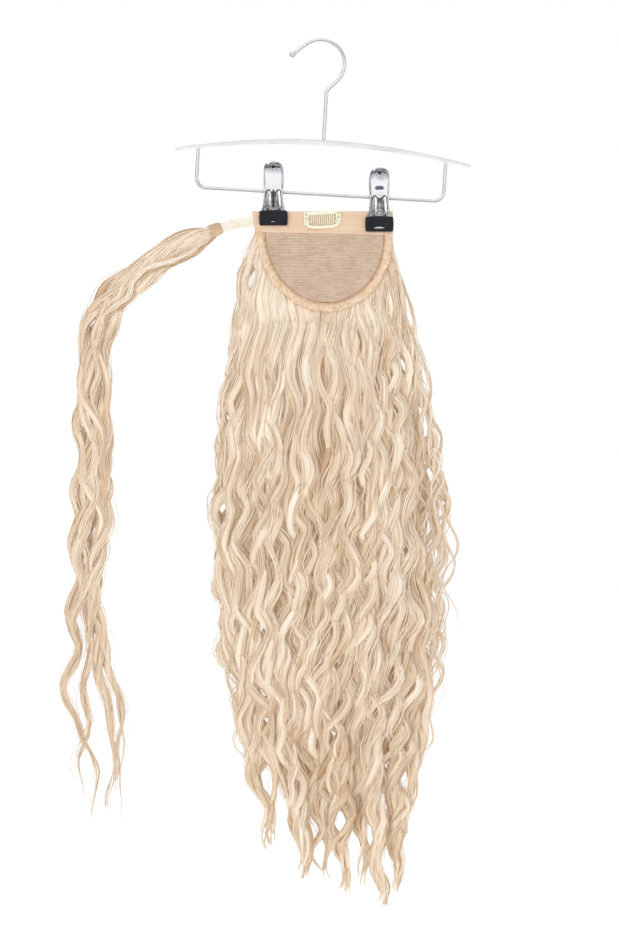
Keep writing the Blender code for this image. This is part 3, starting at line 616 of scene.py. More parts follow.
# Net panel. A thin tan net that carries the machine-sewn rows of hair on its far side; on this side
# their lines show as close, uneven darker rows across a fine open weave.
BASE_X, BASE_REACH, BASE_DEPTH, BASE_SKEW = 3.4, 59.2, 67.6, 1.9
BINDING_WIDTH, BINDING_SEAM = 8.0, 0.78
WEFT_GAP, WEFT_TURN = 2.35, 2673.0  # millimetres from row to row, and radians of a row's wave to a metre


def base_edge(inset, angle):
    """(x, z) on the base's half-ellipse, inset from its edge: angle 0 is its left top and pi its right."""
    down = np.sin(angle)
    x = BASE_X - (BASE_REACH - inset) * np.cos(angle) + BASE_SKEW * down
    return x, band_bottom(x) * (1 - down) + band_bottom(BASE_X) * down - GAP - (BASE_DEPTH - inset) * down


net_down = np.linspace(0.0, 0.994, 130)
left_x, left_z = base_edge(BINDING_WIDTH + GAP, np.arcsin(net_down))
right_x, right_z = base_edge(BINDING_WIDTH + GAP, math.pi - np.arcsin(net_down))
net_across = np.linspace(0, 1, 36)[None, :]
under_band = 1.3 * (1 - net_down[:, None]) ** 8  # the net is caught under the band's fold
net_x = left_x[:, None] + (right_x - left_x)[:, None] * net_across
net_z = left_z[:, None] + (right_z - left_z)[:, None] * net_across + under_band
weft_rows = net_z + 0.5 * np.sin(net_x / 11.0) + 0.35 * np.sin(net_x / 4.3 + net_z / 9.0)
weft_height = 0.5 + 0.5 * np.cos(2 * math.pi * weft_rows / WEFT_GAP)
weft_height *= 0.6 + 0.4 * np.sin(net_x / 6.1 + weft_rows * 1.9)
bow_out = 0.25 * np.sin(net_x / 17.0) * np.sin(net_z / 13.0)
front_y = -0.46 + bow_out - 0.05 * weft_height
net_front = np.stack([net_x, front_y, net_z], axis=2)
net_back = np.stack([net_x, np.full_like(net_x, 0.55), net_z], axis=2)
net_shape = shell(np.concatenate([net_front, net_back[:, ::-1]], axis=1))

net_cloth, place = new_finish("net_cloth", Sheen_Weight=0.2, Specular_IOR_Level=0.2)
sway = grain(place, (0.012, 0.02, 0.004), 2)
rows = place.part(2) * WEFT_TURN + sway * 5.0
row_wave = rows.node("Math", {"operation": "SINE"}, {0: rows})
mesh_hole = place.node("TexVoronoi", {"feature": "DISTANCE_TO_EDGE"}, {"Vector": place, "Scale": 1150.0})
smear = grain(place, (0.005, 0.02, 0.0008), 3)
broad = grain(place, (0.011, 0.02, 0.0017), 2)
patch = grain(place, (0.016, 0.018, 0.012), 3)
weft_tone = row_wave * 0.05 + smear * 0.62 + broad * 0.45 + patch * 0.4 - 0.24
feed(
    net_cloth,
    Base_Color=between(weft_tone, [(0.2, "B39276"), (0.42, "CBAF95"), (0.6, "D8C0A8"), (0.85, "E6D5C0")]),
    Roughness=smear * 0.2 + 0.65,
    Normal=relief(mesh_hole * 2.0 + smear * 0.6, 0.0002),
)
net = new_piece("net_panel", net_shape, net_cloth, ["net_base"], sharp=60)


# Binding. A peach tape folded round the panel's curved edge, a little puckered where it takes the
# curve, and sewn near its inner edge.
def keep_values(made, name, kind, values):
    """Values for an object's points, kept under a name that its material reads."""
    kept = made.data.attributes.new(name, kind, "POINT").data
    kept.foreach_set("value" if kind == "FLOAT" else "vector", np.asarray(values, np.float32).ravel())


binding_angle = np.linspace(-0.016, math.pi + 0.016, 200)
outer_x, outer_z = base_edge(0, binding_angle)
inner_x, inner_z = base_edge(BINDING_WIDTH, binding_angle)
section = tape_section(18)
into = section[:, 0][None, :]
pucker = np.sin(binding_angle * 61 + 2 * np.sin(binding_angle * 7))[:, None]
pucker_slow = np.sin(binding_angle * 17 + 1.3 * np.sin(binding_angle * 5))[:, None]
crown = 0.6 + 0.6 * np.sin(math.pi * np.clip(into / 0.76, 0, 1))
crown = crown - 0.3 * np.exp(-(((into - BINDING_SEAM) / 0.05) ** 2))
crinkle = 0.15 * pucker * eased(into, 0.1, 0.6) * (1 - 0.5 * eased(into, 0.75, 0.9))
crinkle = crinkle + 0.14 * pucker_slow * eased(into, 0.05, 0.4)
edge_wave = 0.45 * pucker_slow * (1 - into) - 0.3 * pucker * into
wavy = np.clip(into + edge_wave * 0.12, 0, 1)
binding_x = outer_x[:, None] + (inner_x - outer_x)[:, None] * wavy
binding_z = outer_z[:, None] + (inner_z - outer_z)[:, None] * wavy
binding_y = section[:, 1][None, :] * (crown + crinkle)
satin = {"Sheen_Weight": 0.35, "Sheen_Roughness": 0.4, "Specular_IOR_Level": 0.35}
binding_tape, place = new_finish("binding_tape", **satin)
# Painted shade that darkens the tape along its edges.
hem = place.node("Attribute", {"attribute_name": "hem"}, out=2)
crinkle_relief_and_shade = grain(place, (0.0028, 0.003, 0.0028), 3)
yarn = grain(place, (0.0009, 0.002, 0.0009), 2)
peach = [(0.2, "C29C78"), (0.38, "DDBB97"), (0.52, "EBCFB0"), (0.68, "F3DDC3"), (0.9, "F7E8D4")]
# The crinkle noise bumps the tape and also colours it in light and dark specks, painted light and shade of
# its crinkles.
feed(
    binding_tape,
    Base_Color=between(crinkle_relief_and_shade * 0.75 + yarn * 0.25 - hem, peach),
    Roughness=yarn * 0.2 + 0.45,
    Normal=relief(crinkle_relief_and_shade * 0.7 + yarn * 0.3, 0.0007),
)
binding_shape = shell(np.stack([binding_x, binding_y, binding_z], axis=2))
binding = new_piece("panel_binding", binding_shape, binding_tape, ["base_binding"], sharp=50)
# Painted shade: darker along the tape's outer edge and over the flat lip inside its seam.
darker = 0.12 * np.exp(-((into / 0.12) ** 2)) + 0.24 * eased(into, 0.74, 0.86)
keep_values(binding, "hem", "FLOAT", np.repeat(darker, len(binding_x), axis=0))
seam_x, seam_z = (a + (b - a) * BINDING_SEAM for a, b in ((outer_x, inner_x), (outer_z, inner_z)))
seam = stitches(np.stack([seam_x, np.full(200, -0.66), seam_z], axis=1), 1.8, 0.9, 0.2, 0.14)
binding_seam = new_piece("binding_stitches", seam, peach_thread)


# Snap comb. An enamelled spring-steel clip sewn to the band through its eyelets: a plate with a row of
# teeth, and a curved bow that snaps over them, hinged on pins in the plate's two lugs.
COMB_AT, COMB_TILT = (1.7, -153.6), math.radians(-3.0)
BOW_HALF_SPAN, BOW_DROP, BOW_WIDTH, BOW_END, PIVOT_Z, PIVOT_Y = 13.2, 3.1, 2.7, 1.1, -2.6, -2.8
EYELET_X, EYELET_HEIGHTS, EYELET_R, EYELET_WIRE = 13.9, (4.4, 0.9), 1.0, 0.22


def on_comb(shape):
    """A shape in the comb's own upright frame, set in its place on the band."""
    return placed(shape, *COMB_AT, COMB_TILT)


def bow_edge(half_span, drop, angle):
    """A squared half-ellipse below the pivots: |x / span|^3.4 + |z / drop|^3.4 = 1."""
    power = 2.0 / 3.4
    across, low = -np.cos(angle), np.clip(np.sin(angle), 0, 1)
    return half_span * np.sign(across) * np.abs(across) ** power, PIVOT_Z - drop * low**power


comb_enamel, place = new_finish("comb_enamel", Coat_Weight=0.5, Coat_Roughness=0.1)
speck = grain(place, (0.0016, 0.0016, 0.0016), 3)
wear = grain(place, (0.005, 0.005, 0.003), 3)
feed(
    comb_enamel,
    Base_Color=between(wear * 0.6 + speck * 0.4, [(0.3, "F0EBC6"), (0.55, "F8F4D8"), (0.8, "FDFAEA")]),
    Roughness=speck * 0.15 + 0.25,
    Normal=relief(speck, 0.00005),
)
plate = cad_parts["snap_comb_plate"]
for material_slot in plate.material_slots:
    material_slot.material = comb_enamel
bow_angle = np.linspace(0, math.pi, 72)
bow_out_x, bow_out_z = bow_edge(BOW_HALF_SPAN + BOW_END, BOW_DROP + BOW_WIDTH, bow_angle)
bow_in_x, bow_in_z = bow_edge(BOW_HALF_SPAN - BOW_END, BOW_DROP, bow_angle)
section = round_section(16, 0.5)
across_bow = (1 - section[:, 0][None, :]) / 2
bow_rings = np.stack(
    [
        bow_out_x[:, None] + (bow_in_x - bow_out_x)[:, None] * across_bow,
        np.broadcast_to(PIVOT_Y + 0.4 * section[:, 1], (72, 16)),
        bow_out_z[:, None] + (bow_in_z - bow_out_z)[:, None] * across_bow,
    ],
    axis=2,
)
bow_shapes = [shell(bow_rings)]
for side in (-1, 1):
    hub = (0.4, BOW_HALF_SPAN + BOW_END, BOW_HALF_SPAN - BOW_END)
    pin = (0.38, BOW_HALF_SPAN, BOW_HALF_SPAN - BOW_END - 1.2)
    for reach, start, end in (hub, pin):
        line = np.array([(side * start, PIVOT_Y, PIVOT_Z), (side * end, PIVOT_Y, PIVOT_Z)])
        bow_shapes.append(rods(line, reach, reach, round_section(16)))
bow, stands_for = on_comb(joined(bow_shapes)), ["snap_comb_bow"]
new_piece("snap_comb_curved_bow", bow, comb_enamel, stands_for, body="comb_bow", sharp=45)
angle = np.repeat(np.linspace(0, 2 * math.pi, 24, endpoint=False)[:, None], 8, axis=1)
around = np.arange(8)[None, :] * math.pi / 4
reach = EYELET_R + EYELET_WIRE * np.cos(around)
at = np.arange(24 * 8).reshape(24, 8)
after = np.roll(at, -1, axis=1)
quads = np.stack([at, after, np.roll(after, -1, axis=0), np.roll(at, -1, axis=0)], axis=2).reshape(-1, 4)
eyelets = []
for side in (-1, 1):
    for z in EYELET_HEIGHTS:
        low = -2.12 - 0.16 * np.sin(around + 0 * angle)
        ring = np.stack([side * EYELET_X + reach * np.cos(angle), low, z + reach * np.sin(angle)], axis=2)
        eyelets.append((ring.reshape(-1, 3), [quads[:, ::-1]]))
new_piece("snap_comb_eyelets", on_comb(joined(eyelets)), comb_enamel)


# Wrap strap and the wound root. A narrow cream elastic sewn to the band's end, and the thick root of
# the long lock, bound side by side with brown thread so that the hair can't slip out.
STRAP_WIDTH, STRAP_THICK, ROOT_LENGTH = 8.2, 1.4, 11.0
strap_start = np.array((-58.55, -155.8))
root_end = np.array((-96.5, -165.0))
root_heading = np.array((-114.6, -171.7)) - root_end
root_heading = root_heading / np.linalg.norm(root_heading)
root_start = root_end - root_heading * (ROOT_LENGTH + 2 * GAP)
strap_end = root_start - root_heading * 2 * GAP


def smooth_path(points, count):
    """count points along a smooth curve through the given points."""
    points = np.asarray(points, float)
    walked = way_along(points)
    return smooth_through(walked, points, np.linspace(0, walked[-1], count))


# The strap's ends run on into the band and the bound root.
strap_points = [strap_start + (1.6, 0.15), strap_start + (-9.0, -0.9), strap_end + root_heading * 1.6]
strap_line = in_plane(smooth_path(strap_points, 40))
share = np.linspace(-1, 1, 33)
ribbed = 0.82 + 0.18 * np.cos(share * 9 * math.pi)
strap_section = np.stack([[*share, *-share], [*-ribbed, *ribbed]], axis=1)
strap_shape = rods(strap_line, STRAP_WIDTH / 2, STRAP_THICK / 2, strap_section)
elastic, place = new_finish("elastic", Sheen_Weight=0.3, Specular_IOR_Level=0.25)
knit = ribs(place, "X", 480.0, 0.8, 2.0)
soil = grain(place, (0.01, 0.01, 0.006), 3)
feed(
    elastic,
    Base_Color=between(soil * 0.7 + knit * 0.3, [(0.2, "F3E8CE"), (0.5, "FAF3E2"), (0.8, "FEFAF0")]),
    Roughness=soil * 0.2 + 0.6,
    Normal=relief(knit * 0.7 + soil * 0.3, 0.00014),
)
strap = new_piece("wrap_strap_elastic", strap_shape, elastic, ["wrap_strap"], sharp=60)

wound = np.linspace(0, 1, 120)
root_line = in_plane([root_start + root_heading * (s * (ROOT_LENGTH + GAP) + 0.1) for s in wound])
root_wide = np.interp(wound, (0, 0.06, 0.3, 0.7, 0.94, 1), (4.3, 5.0, 5.5, 5.7, 5.7, 5.3))
angle = np.arange(24) * 2 * math.pi / 24
points, faces = rods(root_line, root_wide, root_wide * 0.58, round_section(24))
turns = np.sin(2 * math.pi * (wound[:, None] * 13) + angle[None, :]).reshape(-1, 1)
middle = np.repeat(root_line, 24, axis=0)
root_shape = middle + (points - middle) * (1 + 0.025 * turns), faces
root_thread, place = new_finish("root_thread", Sheen_Weight=0.2)
twist = grain(place, (0.0006, 0.0006, 0.0006), 3)
dye = grain(place, (0.004, 0.004, 0.004), 2)
feed(
    root_thread,
    Base_Color=between(twist * 0.5 + dye * 0.5, [(0.3, "BE9A76"), (0.5, "D4B694"), (0.75, "E6CFB2")]),
    Roughness=twist * 0.2 + 0.5,
    Normal=relief(twist, 0.0001),
)
new_piece("wound_root", root_shape, root_thread, ["wrap_lock_root"])


# Fall of hair. Long blond hair in soft beach waves, sewn in rows behind the net: it leaves the panel's
# edge in flat locks that swing together, cross lower down, and part into pointed ends.
FALL_TOP, WAVE_PERIOD = -165.1, 60.0
NET_BACK = 1.9  # no strand lies in front of this depth where the net is
FALL_ROWS = np.array([
    # drop, left, right, front, back
    (0, -54, 59, 1.7, 5.5),
    (18, -62, 63, 1.7, 13),
    (42, -68, 70, 1.7, 20),
    (70, -70, 72, 1.7, 25),
    (92, -74, 76, -5, 27),
    (145, -82, 84, -13, 30),
    (188, -83, 90, -17, 31),
    (231, -85, 94, -19, 32),
    (318, -80, 93, -20, 32),
    (361, -79, 92, -20, 31),
    (404, -72, 91, -18, 28),
    (448, -68, 86, -14, 23),
    (491, -51, 76, -9, 17),
    (512, -38, 66, -4, 11),
], float)
END_ROWS = np.array([
    # start x, start drop, end x, end drop, depth
    (-64, 400, -45, 536, 4),
    (-34, 425, -11, 563, -2),
    (-12, 435, 8, 560, 7),
    (8, 440, 24, 577, -2),
    (28, 440, 41, 570, 6),
    (46, 440, 57, 584, -2),
    (66, 430, 68, 572, 5),
    (84, 400, 79, 522, 0),
], float)
GAPS = np.array([
    # x, z, half width, half height of the chinks between locks
    (-60, -205, 2.6, 11),
    (71, -278, 2.4, 13),
    (65, -321, 2.2, 8),
    (91, -332, 2.6, 11),
    (95, -372, 2.6, 10),
    (73, -438, 3.0, 11),
    (-50, -505, 2.6, 10),
    (-80, -325, 2.0, 8),
    (-85, -405, 3.4, 14),
    (-1, -539, 2.0, 6),
    (-50, -563, 3.0, 9),
    (-47, -587, 2.4, 7),
    (-28, -587, 2.4, 7),
    (11, -598, 2.6, 10),
    (47, -576, 2.6, 9),
    (-7, -619, 2.0, 6),
    (58, -624, 3.2, 12),
    (-20, -639, 2.4, 8),
    (17, -673, 4.5, 14),
    (71, -639, 3.2, 15),
    (-47, -639, 4.5, 16),
    (-1, -702, 3.0, 12),
], float)
PAINTED_SHADE_AND_LIGHT = np.array([
    # x, z, reach across, reach down, change of tone: painted shade where sheets of hair dip (below 0) and
    # painted light where they stand out (above 0)
    (-62, -300, 12, 20, -0.2),
    (0, -352, 9, 30, -0.2),
    (57, -292, 11, 18, -0.16),
    (-6, -411, 12, 14, -0.16),
    (50, -398, 12, 14, -0.14),
    (0, -478, 14, 16, -0.14),
    (-69, -465, 12, 20, -0.14),
    (33, -518, 14, 14, -0.14),
    (-51, -604, 13, 20, -0.2),
    (-5, -639, 12, 20, -0.2),
    (73, -622, 12, 26, -0.16),
    (27, -667, 12, 24, -0.2),
    (33, -319, 20, 36, 0.12),
    (-33, -258, 16, 30, 0.1),
    (-40, -372, 16, 30, 0.1),
    (72, -225, 20, 40, 0.12),
], float)
chance = np.random.default_rng(20)


def parted(paths, gaps, margin):
    """Paths moved aside by what they lack of each gap's half width plus the margin, on the side where
    they pass its middle, and less above and below it by exp(-(distance / half height)^4)."""
    for x, z, wide, high in gaps:
        nearest = np.abs(paths[..., 2] - z).argmin(axis=1)
        off = paths[np.arange(len(paths)), nearest, 0] - x
        lack = np.where(off < 0, -1, 1) * np.maximum(wide + margin - np.abs(off), 0)
        paths[..., 0] += lack[:, None] * np.exp(-(((paths[..., 2] - z) / high) ** 4))
    return paths


def painted_spots(paths):
    """The painted shade and light at each point of the paths, a sum of soft spots."""
    spots = [
        tone * np.exp(-(((paths[..., 0] - x) / across) ** 2) - ((paths[..., 2] - z) / down) ** 2)
        for x, z, across, down, tone in PAINTED_SHADE_AND_LIGHT
    ]
    return sum(spots)


def fall_limit(drop, column):
    """How far the fall reaches at a drop: 1 to the left, 2 to the right, 3 in front and 4 behind."""
    return np.interp(drop, FALL_ROWS[:, 0], FALL_ROWS[:, column])


RINGS, LOCKS, INNER = 80, 138, 26
known_drops = np.linspace(0, 512, 129)
left, right, front, back = (fall_limit(known_drops, k)[:, None] for k in (1, 2, 3, 4))
around = np.linspace(0, 2 * math.pi, 257)
cosine, sine = (np.sign(v) * np.abs(v) ** (2 / 2.6) for v in (np.cos(around), np.sin(around)))
outline = np.stack(
    [
        (left + right) / 2 + (right - left) / 2 * cosine,
        (front + back) / 2 + (back - front) / 2 * sine,
    ],
    axis=2,
)
walked = way_along(outline)
even = np.linspace(0, 1, 257)
outline = np.stack(
    [[np.interp(even, w / w[-1], v) for w, v in zip(walked, outline[..., k])] for k in (0, 1)], axis=2
)


def outline_at(drop, share):
    """(x, y) on the fall's outline at a drop and a share of the way round it, by arc length."""
    row = np.clip(drop / 4.0, 0, 127.999)
    column = np.mod(share, 1.0) * 256
    i, j = row.astype(int), np.minimum(column.astype(int), 255)
    f, g = (row - i)[..., None], (column - j)[..., None]
    low = outline[i, j] * (1 - g) + outline[i, j + 1] * g
    high = outline[i + 1, j] * (1 - g) + outline[i + 1, j + 1] * g
    return low * (1 - f) + high * f


def wave_turn(drop):
    """The phase of the waves at a drop: they grow shorter lower down, by its square."""
    return 2 * math.pi * (drop / WAVE_PERIOD + (drop / 620.0) ** 2 * 1.1)


def tapered(run, over, least, power=0.8):
    """A share of the width at a run from 0 to 1: full, then narrowing over the last part."""
    return np.clip((1 - run) / over, least, 1) ** power


def per_lock(low, high):
    """A random value for each lock of the fall."""
    return chance.uniform(low, high, (LOCKS, 1))


lock_share = (np.arange(LOCKS) + chance.uniform(-0.35, 0.35, LOCKS)) / LOCKS
layer = chance.permutation(LOCKS) % 3
at_448 = outline_at(np.full(LOCKS, 448.0), lock_share)
belongs = np.argmin(np.abs(at_448[:, :1] - END_ROWS[None, :, 0]), axis=1)
is_front = at_448[:, 1] < 6
ends = END_ROWS[belongs]
is_long = chance.random(LOCKS) < 0.4
lock_end = ends[:, 3] - np.where(is_long, chance.uniform(0, 12, LOCKS), chance.uniform(8, 75, LOCKS))
drop = np.linspace(0, 1, RINGS)[None, :] * lock_end[:, None]
leap = np.where(chance.random(LOCKS) < 0.3, chance.normal(0, 1.6, LOCKS), chance.normal(0, 0.35, LOCKS))
rover = (chance.random(LOCKS) < 0.3)[:, None]  # locks that lie on top and wander across the others
phase = (np.cumsum(leap) + np.where(is_front, 0.0, 1.5))[:, None]
growth = 0.12 + 0.5 * eased(drop, 10, 95) + 0.38 * eased(drop, 80, 330)
swing = 5.0 * growth * per_lock(0.55, 1.25)
stray = 0.9 * np.sin(drop / 58.0 + phase * 1.7) + chance.normal(0, 0.7, (LOCKS, 1)) * drop / 300.0
theta = wave_turn(drop) + phase + stray
sway_a, sway_b, sway_c = (per_lock(0, 2 * math.pi) for _ in range(3))
wander = 4.4 * np.sin(drop / 43.0 + sway_a) + 2.8 * np.sin(drop / 24.0 + sway_b)
wander *= eased(drop, 30, 260) * np.where(rover, 1.7, 1.0)
pull = eased(drop, per_lock(310, 390), per_lock(510, 560)) * per_lock(0.72, 0.98)
base = outline_at(drop, np.broadcast_to(lock_share[:, None], drop.shape))
middle_y = (base[..., 1].min(axis=0) + base[..., 1].max(axis=0)) / 2
inward = np.stack([0.25 * (3.0 - base[..., 0]), middle_y - base[..., 1]], axis=2)
inward /= np.maximum(np.linalg.norm(inward, axis=2)[..., None], 1e-6)
dip = 1.9 * (1 + np.sin(drop / per_lock(12, 26) + sway_c)) * eased(drop, 40, 130)
sink = np.where(rover, 0.0, (1.0 + 2.6 * layer)[:, None]) * eased(drop, -20, 110) + dip
base = base + inward * sink[..., None]
sparse = (chance.random((LOCKS, 1)) < 0.62) * eased(drop, 70, 130) * (1 - eased(drop, 250, 330))
base[..., 0] -= sparse * np.clip(base[..., 0] - 56, 0, 40) * 0.45
end_share = (drop - ends[:, 1:2]) / (ends[:, 3:4] - ends[:, 1:2])
end_x = ends[:, 0:1] + (ends[:, 2:3] - ends[:, 0:1]) * np.clip(end_share, 0, 1.2)
own = chance.uniform(-1, 1, (LOCKS, 2))
guide_x = base[..., 0] * (1 - pull) + (end_x + 6.5 * own[:, :1] * (1.2 - np.clip(end_share, 0, 1))) * pull
end_y = ends[:, 4:5] + np.where(is_front, -4.0, 5.0)[:, None] + 2.5 * own[:, 1:]
guide_y = base[..., 1] * (1 - pull) + end_y * pull
at_tip = eased(drop / lock_end[:, None], 0.84, 1.0)
shared = 3.4 * pull * np.sin(2 * math.pi * drop / 54.0 + 2.1 * belongs[:, None])
guide_x = guide_x + swing * (1 - 0.7 * at_tip) * (np.sin(theta) + 0.2 * np.sin(2 * theta + 1 + phase))
guide_x = guide_x + wander * (1 - 0.8 * pull) + shared
guide_y = guide_y + 0.6 * swing * np.cos(theta + 0.4) * eased(drop, 60, 120)
behind_net = 1 - eased(drop, 74, 90)
guide_y = np.where(guide_y < 3.4, guide_y + (3.4 - guide_y) * behind_net, guide_y)
fall_guides = parted(np.stack([guide_x, guide_y, FALL_TOP - drop], axis=2), GAPS, 3.3)
fall_width = 3.2 * (0.45 + 0.55 * eased(drop, 0, 90)) * tapered(drop / lock_end[:, None], 0.16, 0.05, 0.65)
fall_turn = 0.55 * np.sin(drop / 19.0 + sway_b) * eased(drop, 50, 150)
# Painted highlight and shade: a lock is lighter on the crests of its waves and darker in their hollows, and
# darker the deeper it sinks into the fall.
gloss = np.sin(theta + 1.0 + 0.8 * np.sin(phase * 2.3)) * growth
fall_tone = 0.52 + 0.12 * chance.normal(0, 1, (LOCKS, 1)) + 0.15 * gloss - 0.035 * (sink - 4.0)
# Add the spots' painted shade and light, then a lighter top and darker ends.
fall_tone += painted_spots(fall_guides) + 0.08 * (1 - eased(drop, 60, 160)) - 0.07 * eased(drop, 330, 480)

# Behind the outer locks lie broader ones that fill the fall's middle.
inner_share = np.linspace(0.03, 0.97, INNER)[:, None]
inner_run = np.linspace(0, 1, RINGS)[None, :]
inner_drop = 20 + inner_run * chance.uniform(395, 470, (INNER, 1))
left, right, front, back = (fall_limit(inner_drop, k) for k in (1, 2, 3, 4))
inner_x = left + (right - left) * (0.08 + 0.8 * inner_share)
inner_x += 4.0 * eased(inner_drop, 60, 300) * np.sin(inner_drop / 10.5 + 15.0 * inner_share)
inner_y = front + (back - front) * (0.42 + 0.12 * np.sin(np.arange(INNER)[:, None] * 2.4))
inner_y = np.maximum(inner_y, 4.2 - 34.2 * eased(inner_drop, 74, 96))
inner_guides = parted(np.stack([inner_x, inner_y, FALL_TOP - inner_drop], axis=2), GAPS, 5.8)
inner_width = 5.4 * (0.4 + 0.6 * eased(inner_drop, 20, 120)) * tapered(inner_run, 0.25, 0.1, 1)

# Thin side locks stand a little off the fall: single rows of (across, drop), then loose wisps.
SIDE_ROWS = [
    (((-50, 8), (-64, 22), (-70, 48), (-64, 76), (-60, 100), (-66, 150), (-58, 200)), 2.2),
    (((-60, 130), (-70, 180), (-86, 215), (-88, 250), (-76, 285), (-66, 310), (-72, 350)), 2.2),
    (((-58, 40), (-74, 90), (-78, 150), (-90, 200), (-84, 240)), 1.2),
    (
        ((62, 60), (78, 110), (90, 150), (99, 195), (104, 240), (98, 290), (104, 345), (95, 395), (84, 440)),
        2.4,
    ),
    (((66, 70), (86, 130), (97, 180), (109, 240), (112, 285), (104, 330), (106, 385), (94, 425)), 1.2),
    (((78, 110), (92, 170), (104, 215), (116, 262), (110, 300), (117, 345)), 0.8),
]
SIDE_PERIOD, SIDE_FRONT = 56.0, 3.2
WISPS_LEFT, WISPS_RIGHT = 10, 20
side_guides, side_width = [], []
side_run = np.linspace(0, 1, RINGS)


def add_side_lock(across, depth, low, width):
    """A thin lock that starts and ends narrower than its width and stays behind the net's face."""
    side_guides.append(np.stack([across, np.maximum(depth, SIDE_FRONT), FALL_TOP - low], axis=1))
    side_width.append(width * np.clip(side_run / 0.12, 0.3, 1) * tapered(side_run, 0.35, 0.08))


for number, (row, width) in enumerate(SIDE_ROWS):
    across, low = smooth_path(row, RINGS).T
    turn = 2 * math.pi * low / SIDE_PERIOD
    wave = (1.2 + 3.2 * eased(low, 20, 250)) * np.sin(turn + 1.7 * number)
    depth = 8.0 - 6.0 * math.sin(2.1 * number) * eased(low, 70, 200) + 2.0 * np.cos(turn + number)
    add_side_lock(across + wave, depth, low, width)
for number in range(WISPS_LEFT + WISPS_RIGHT):
    is_left = number < WISPS_LEFT
    column, sign, limits = (1, -1, (-4, 8)) if is_left else (2, 1, (-12, 17))
    reach, start, stop = (chance.uniform(*pair) for pair in (limits, (10, 130), (270, 500)))
    low = start + (stop - start) * side_run
    off = reach * np.sin(math.pi * side_run) ** 0.7 - 4.0 * (1 - side_run)
    edge = fall_limit(low, column) + sign * off
    turn = wave_turn(low) + chance.uniform(0, 6.3)
    wave = (1.0 + 3.4 * eased(low, 20, 220)) * (np.sin(turn) + 0.3 * np.sin(1.7 * turn))
    depth = chance.uniform(-4, 14) * eased(low, 70, 200) + 6.0 + 2.0 * np.cos(turn)
    add_side_lock(edge + wave, depth, low, chance.uniform(0.8, 2.0))
side_guides, side_width = parted(np.stack(side_guides), GAPS, 1.2), np.stack(side_width)


def strands_round(guides, width, count, reach, seed):
    """count strands round each guide: each keeps its own distance from the middle, and turns slowly
    round it, so that strands cross on the lock's face."""
    luck = np.random.default_rng(seed)
    locks, rings = guides.shape[:2]
    _, side, back = frames(guides)
    run = np.linspace(0, 1, rings)
    shape = (locks, count, 1)

    def ripple(low, high):
        return np.sin(run * luck.uniform(low, high, shape) + luck.uniform(0, 6, shape))

    turn = luck.uniform(0, 2 * math.pi, shape) + luck.normal(0, 2.2, shape) * run + 0.5 * ripple(8, 18)
    far = luck.uniform(*reach, shape) * (1 + 0.25 * ripple(9, 24))
    slip = luck.uniform(0.86, 1.0, shape)
    at = run * slip * (rings - 1)
    low = np.minimum(at.astype(int), rings - 2)
    part = (at - low)[..., None]
    pick = np.arange(locks)[:, None, None]

    def walk(values):
        return values[pick, low] * (1 - part) + values[pick, low + 1] * part

    spread = walk(width[..., None] + 0.25)[..., 0]
    frizz = luck.uniform(0.1, 0.9, shape) * ripple(45, 90) * np.minimum(spread / 2, 1)
    paths = walk(guides) + walk(side) * (np.cos(turn) * far * spread + frizz)[..., None]
    paths = paths + walk(back) * (0.55 * np.sin(turn) * far * spread)[..., None]
    behind = 1 - eased(FALL_TOP - paths[..., 2], 72, 84)
    inside = 1 - eased(np.abs(paths[..., 0] - BASE_X), 60, 66)
    paths[..., 1] += np.maximum(NET_BACK - paths[..., 1], 0) * behind * inside
    return paths.reshape(-1, rings, 3)


def hair_piece(name, sets, stands_for):
    """Rods of hair as one object. Each set is (paths, wide, deep, section, turn, tones). It carries the
    point attributes shade, a strand's tone at that ring, and fibre, a place that follows the strand in
    millimetres, and a bake map with one column for each strand."""
    shapes, shade, fibre, bake = [], [], [], []
    total = sum(len(s[0]) for s in sets)
    first = 0
    for paths, wide, deep, section, turn, tones in sets:
        count, rings = paths.shape[:2]
        sides = len(section)
        shapes.append(rods(paths, wide, deep, section, turn))
        shade.append(np.repeat(np.broadcast_to(tones, (count, rings)), sides))
        wide = np.broadcast_to(wide, (count, rings))
        run = way_along(paths)
        number = np.arange(count) + first
        parts = (
            wide[..., None] * section[:, 0] + number[:, None, None] * 37.0,
            wide[..., None] * section[:, 1],
            np.broadcast_to(run[..., None], (count, rings, sides)),
        )
        fibre.append(np.stack(parts, axis=3).reshape(-1, 3))
        low = 0.02 + 0.96 * np.arange(rings) / (rings - 1)
        left = 0.15 + 0.7 * np.arange(sides) / sides
        right = left + 0.7 / sides
        u = np.stack([left, right, right, left], axis=1)[None, None] + number[:, None, None, None]
        v = np.stack([low[:-1], low[:-1], low[1:], low[1:]], axis=1)[None, :, None]
        bake.append(np.stack(np.broadcast_arrays(u / total, v), axis=4).reshape(-1, 2))
        angle = np.arange(sides) * 2 * math.pi / sides
        for height in (0.01, 0.99):
            u = (number[:, None] + 0.5 + 0.3 * np.cos(angle)) / total
            v = height + 0.006 * np.sin(angle)
            bake.append(np.stack(np.broadcast_arrays(u, v), axis=2).reshape(-1, 2))
        first += count
    made = new_piece(name, joined(shapes), hair, stands_for)
    keep_values(made, "shade", "FLOAT", np.concatenate(shade))
    keep_values(made, "fibre", "FLOAT_VECTOR", np.concatenate(fibre))
    baked = made.data.uv_layers.new(name="OFBake").data
    baked.foreach_set("uv", np.concatenate(bake).astype(np.float32).ravel())


def strand_tones(tones, count, spread):
    """The lock's tones along its length for each of its strands, each strand with its own offset."""
    repeated = np.repeat(tones, count, axis=0)
    return np.clip(repeated + spread * chance.normal(0, 1, (len(repeated), 1)), 0, 1)


def strand_radius(low, high, count):
    """Each strand's radius along its length, thinned towards its end."""
    return chance.uniform(low, high, (count, 1)) * tapered(np.linspace(0, 1, RINGS), 0.2, 0.3, 1)


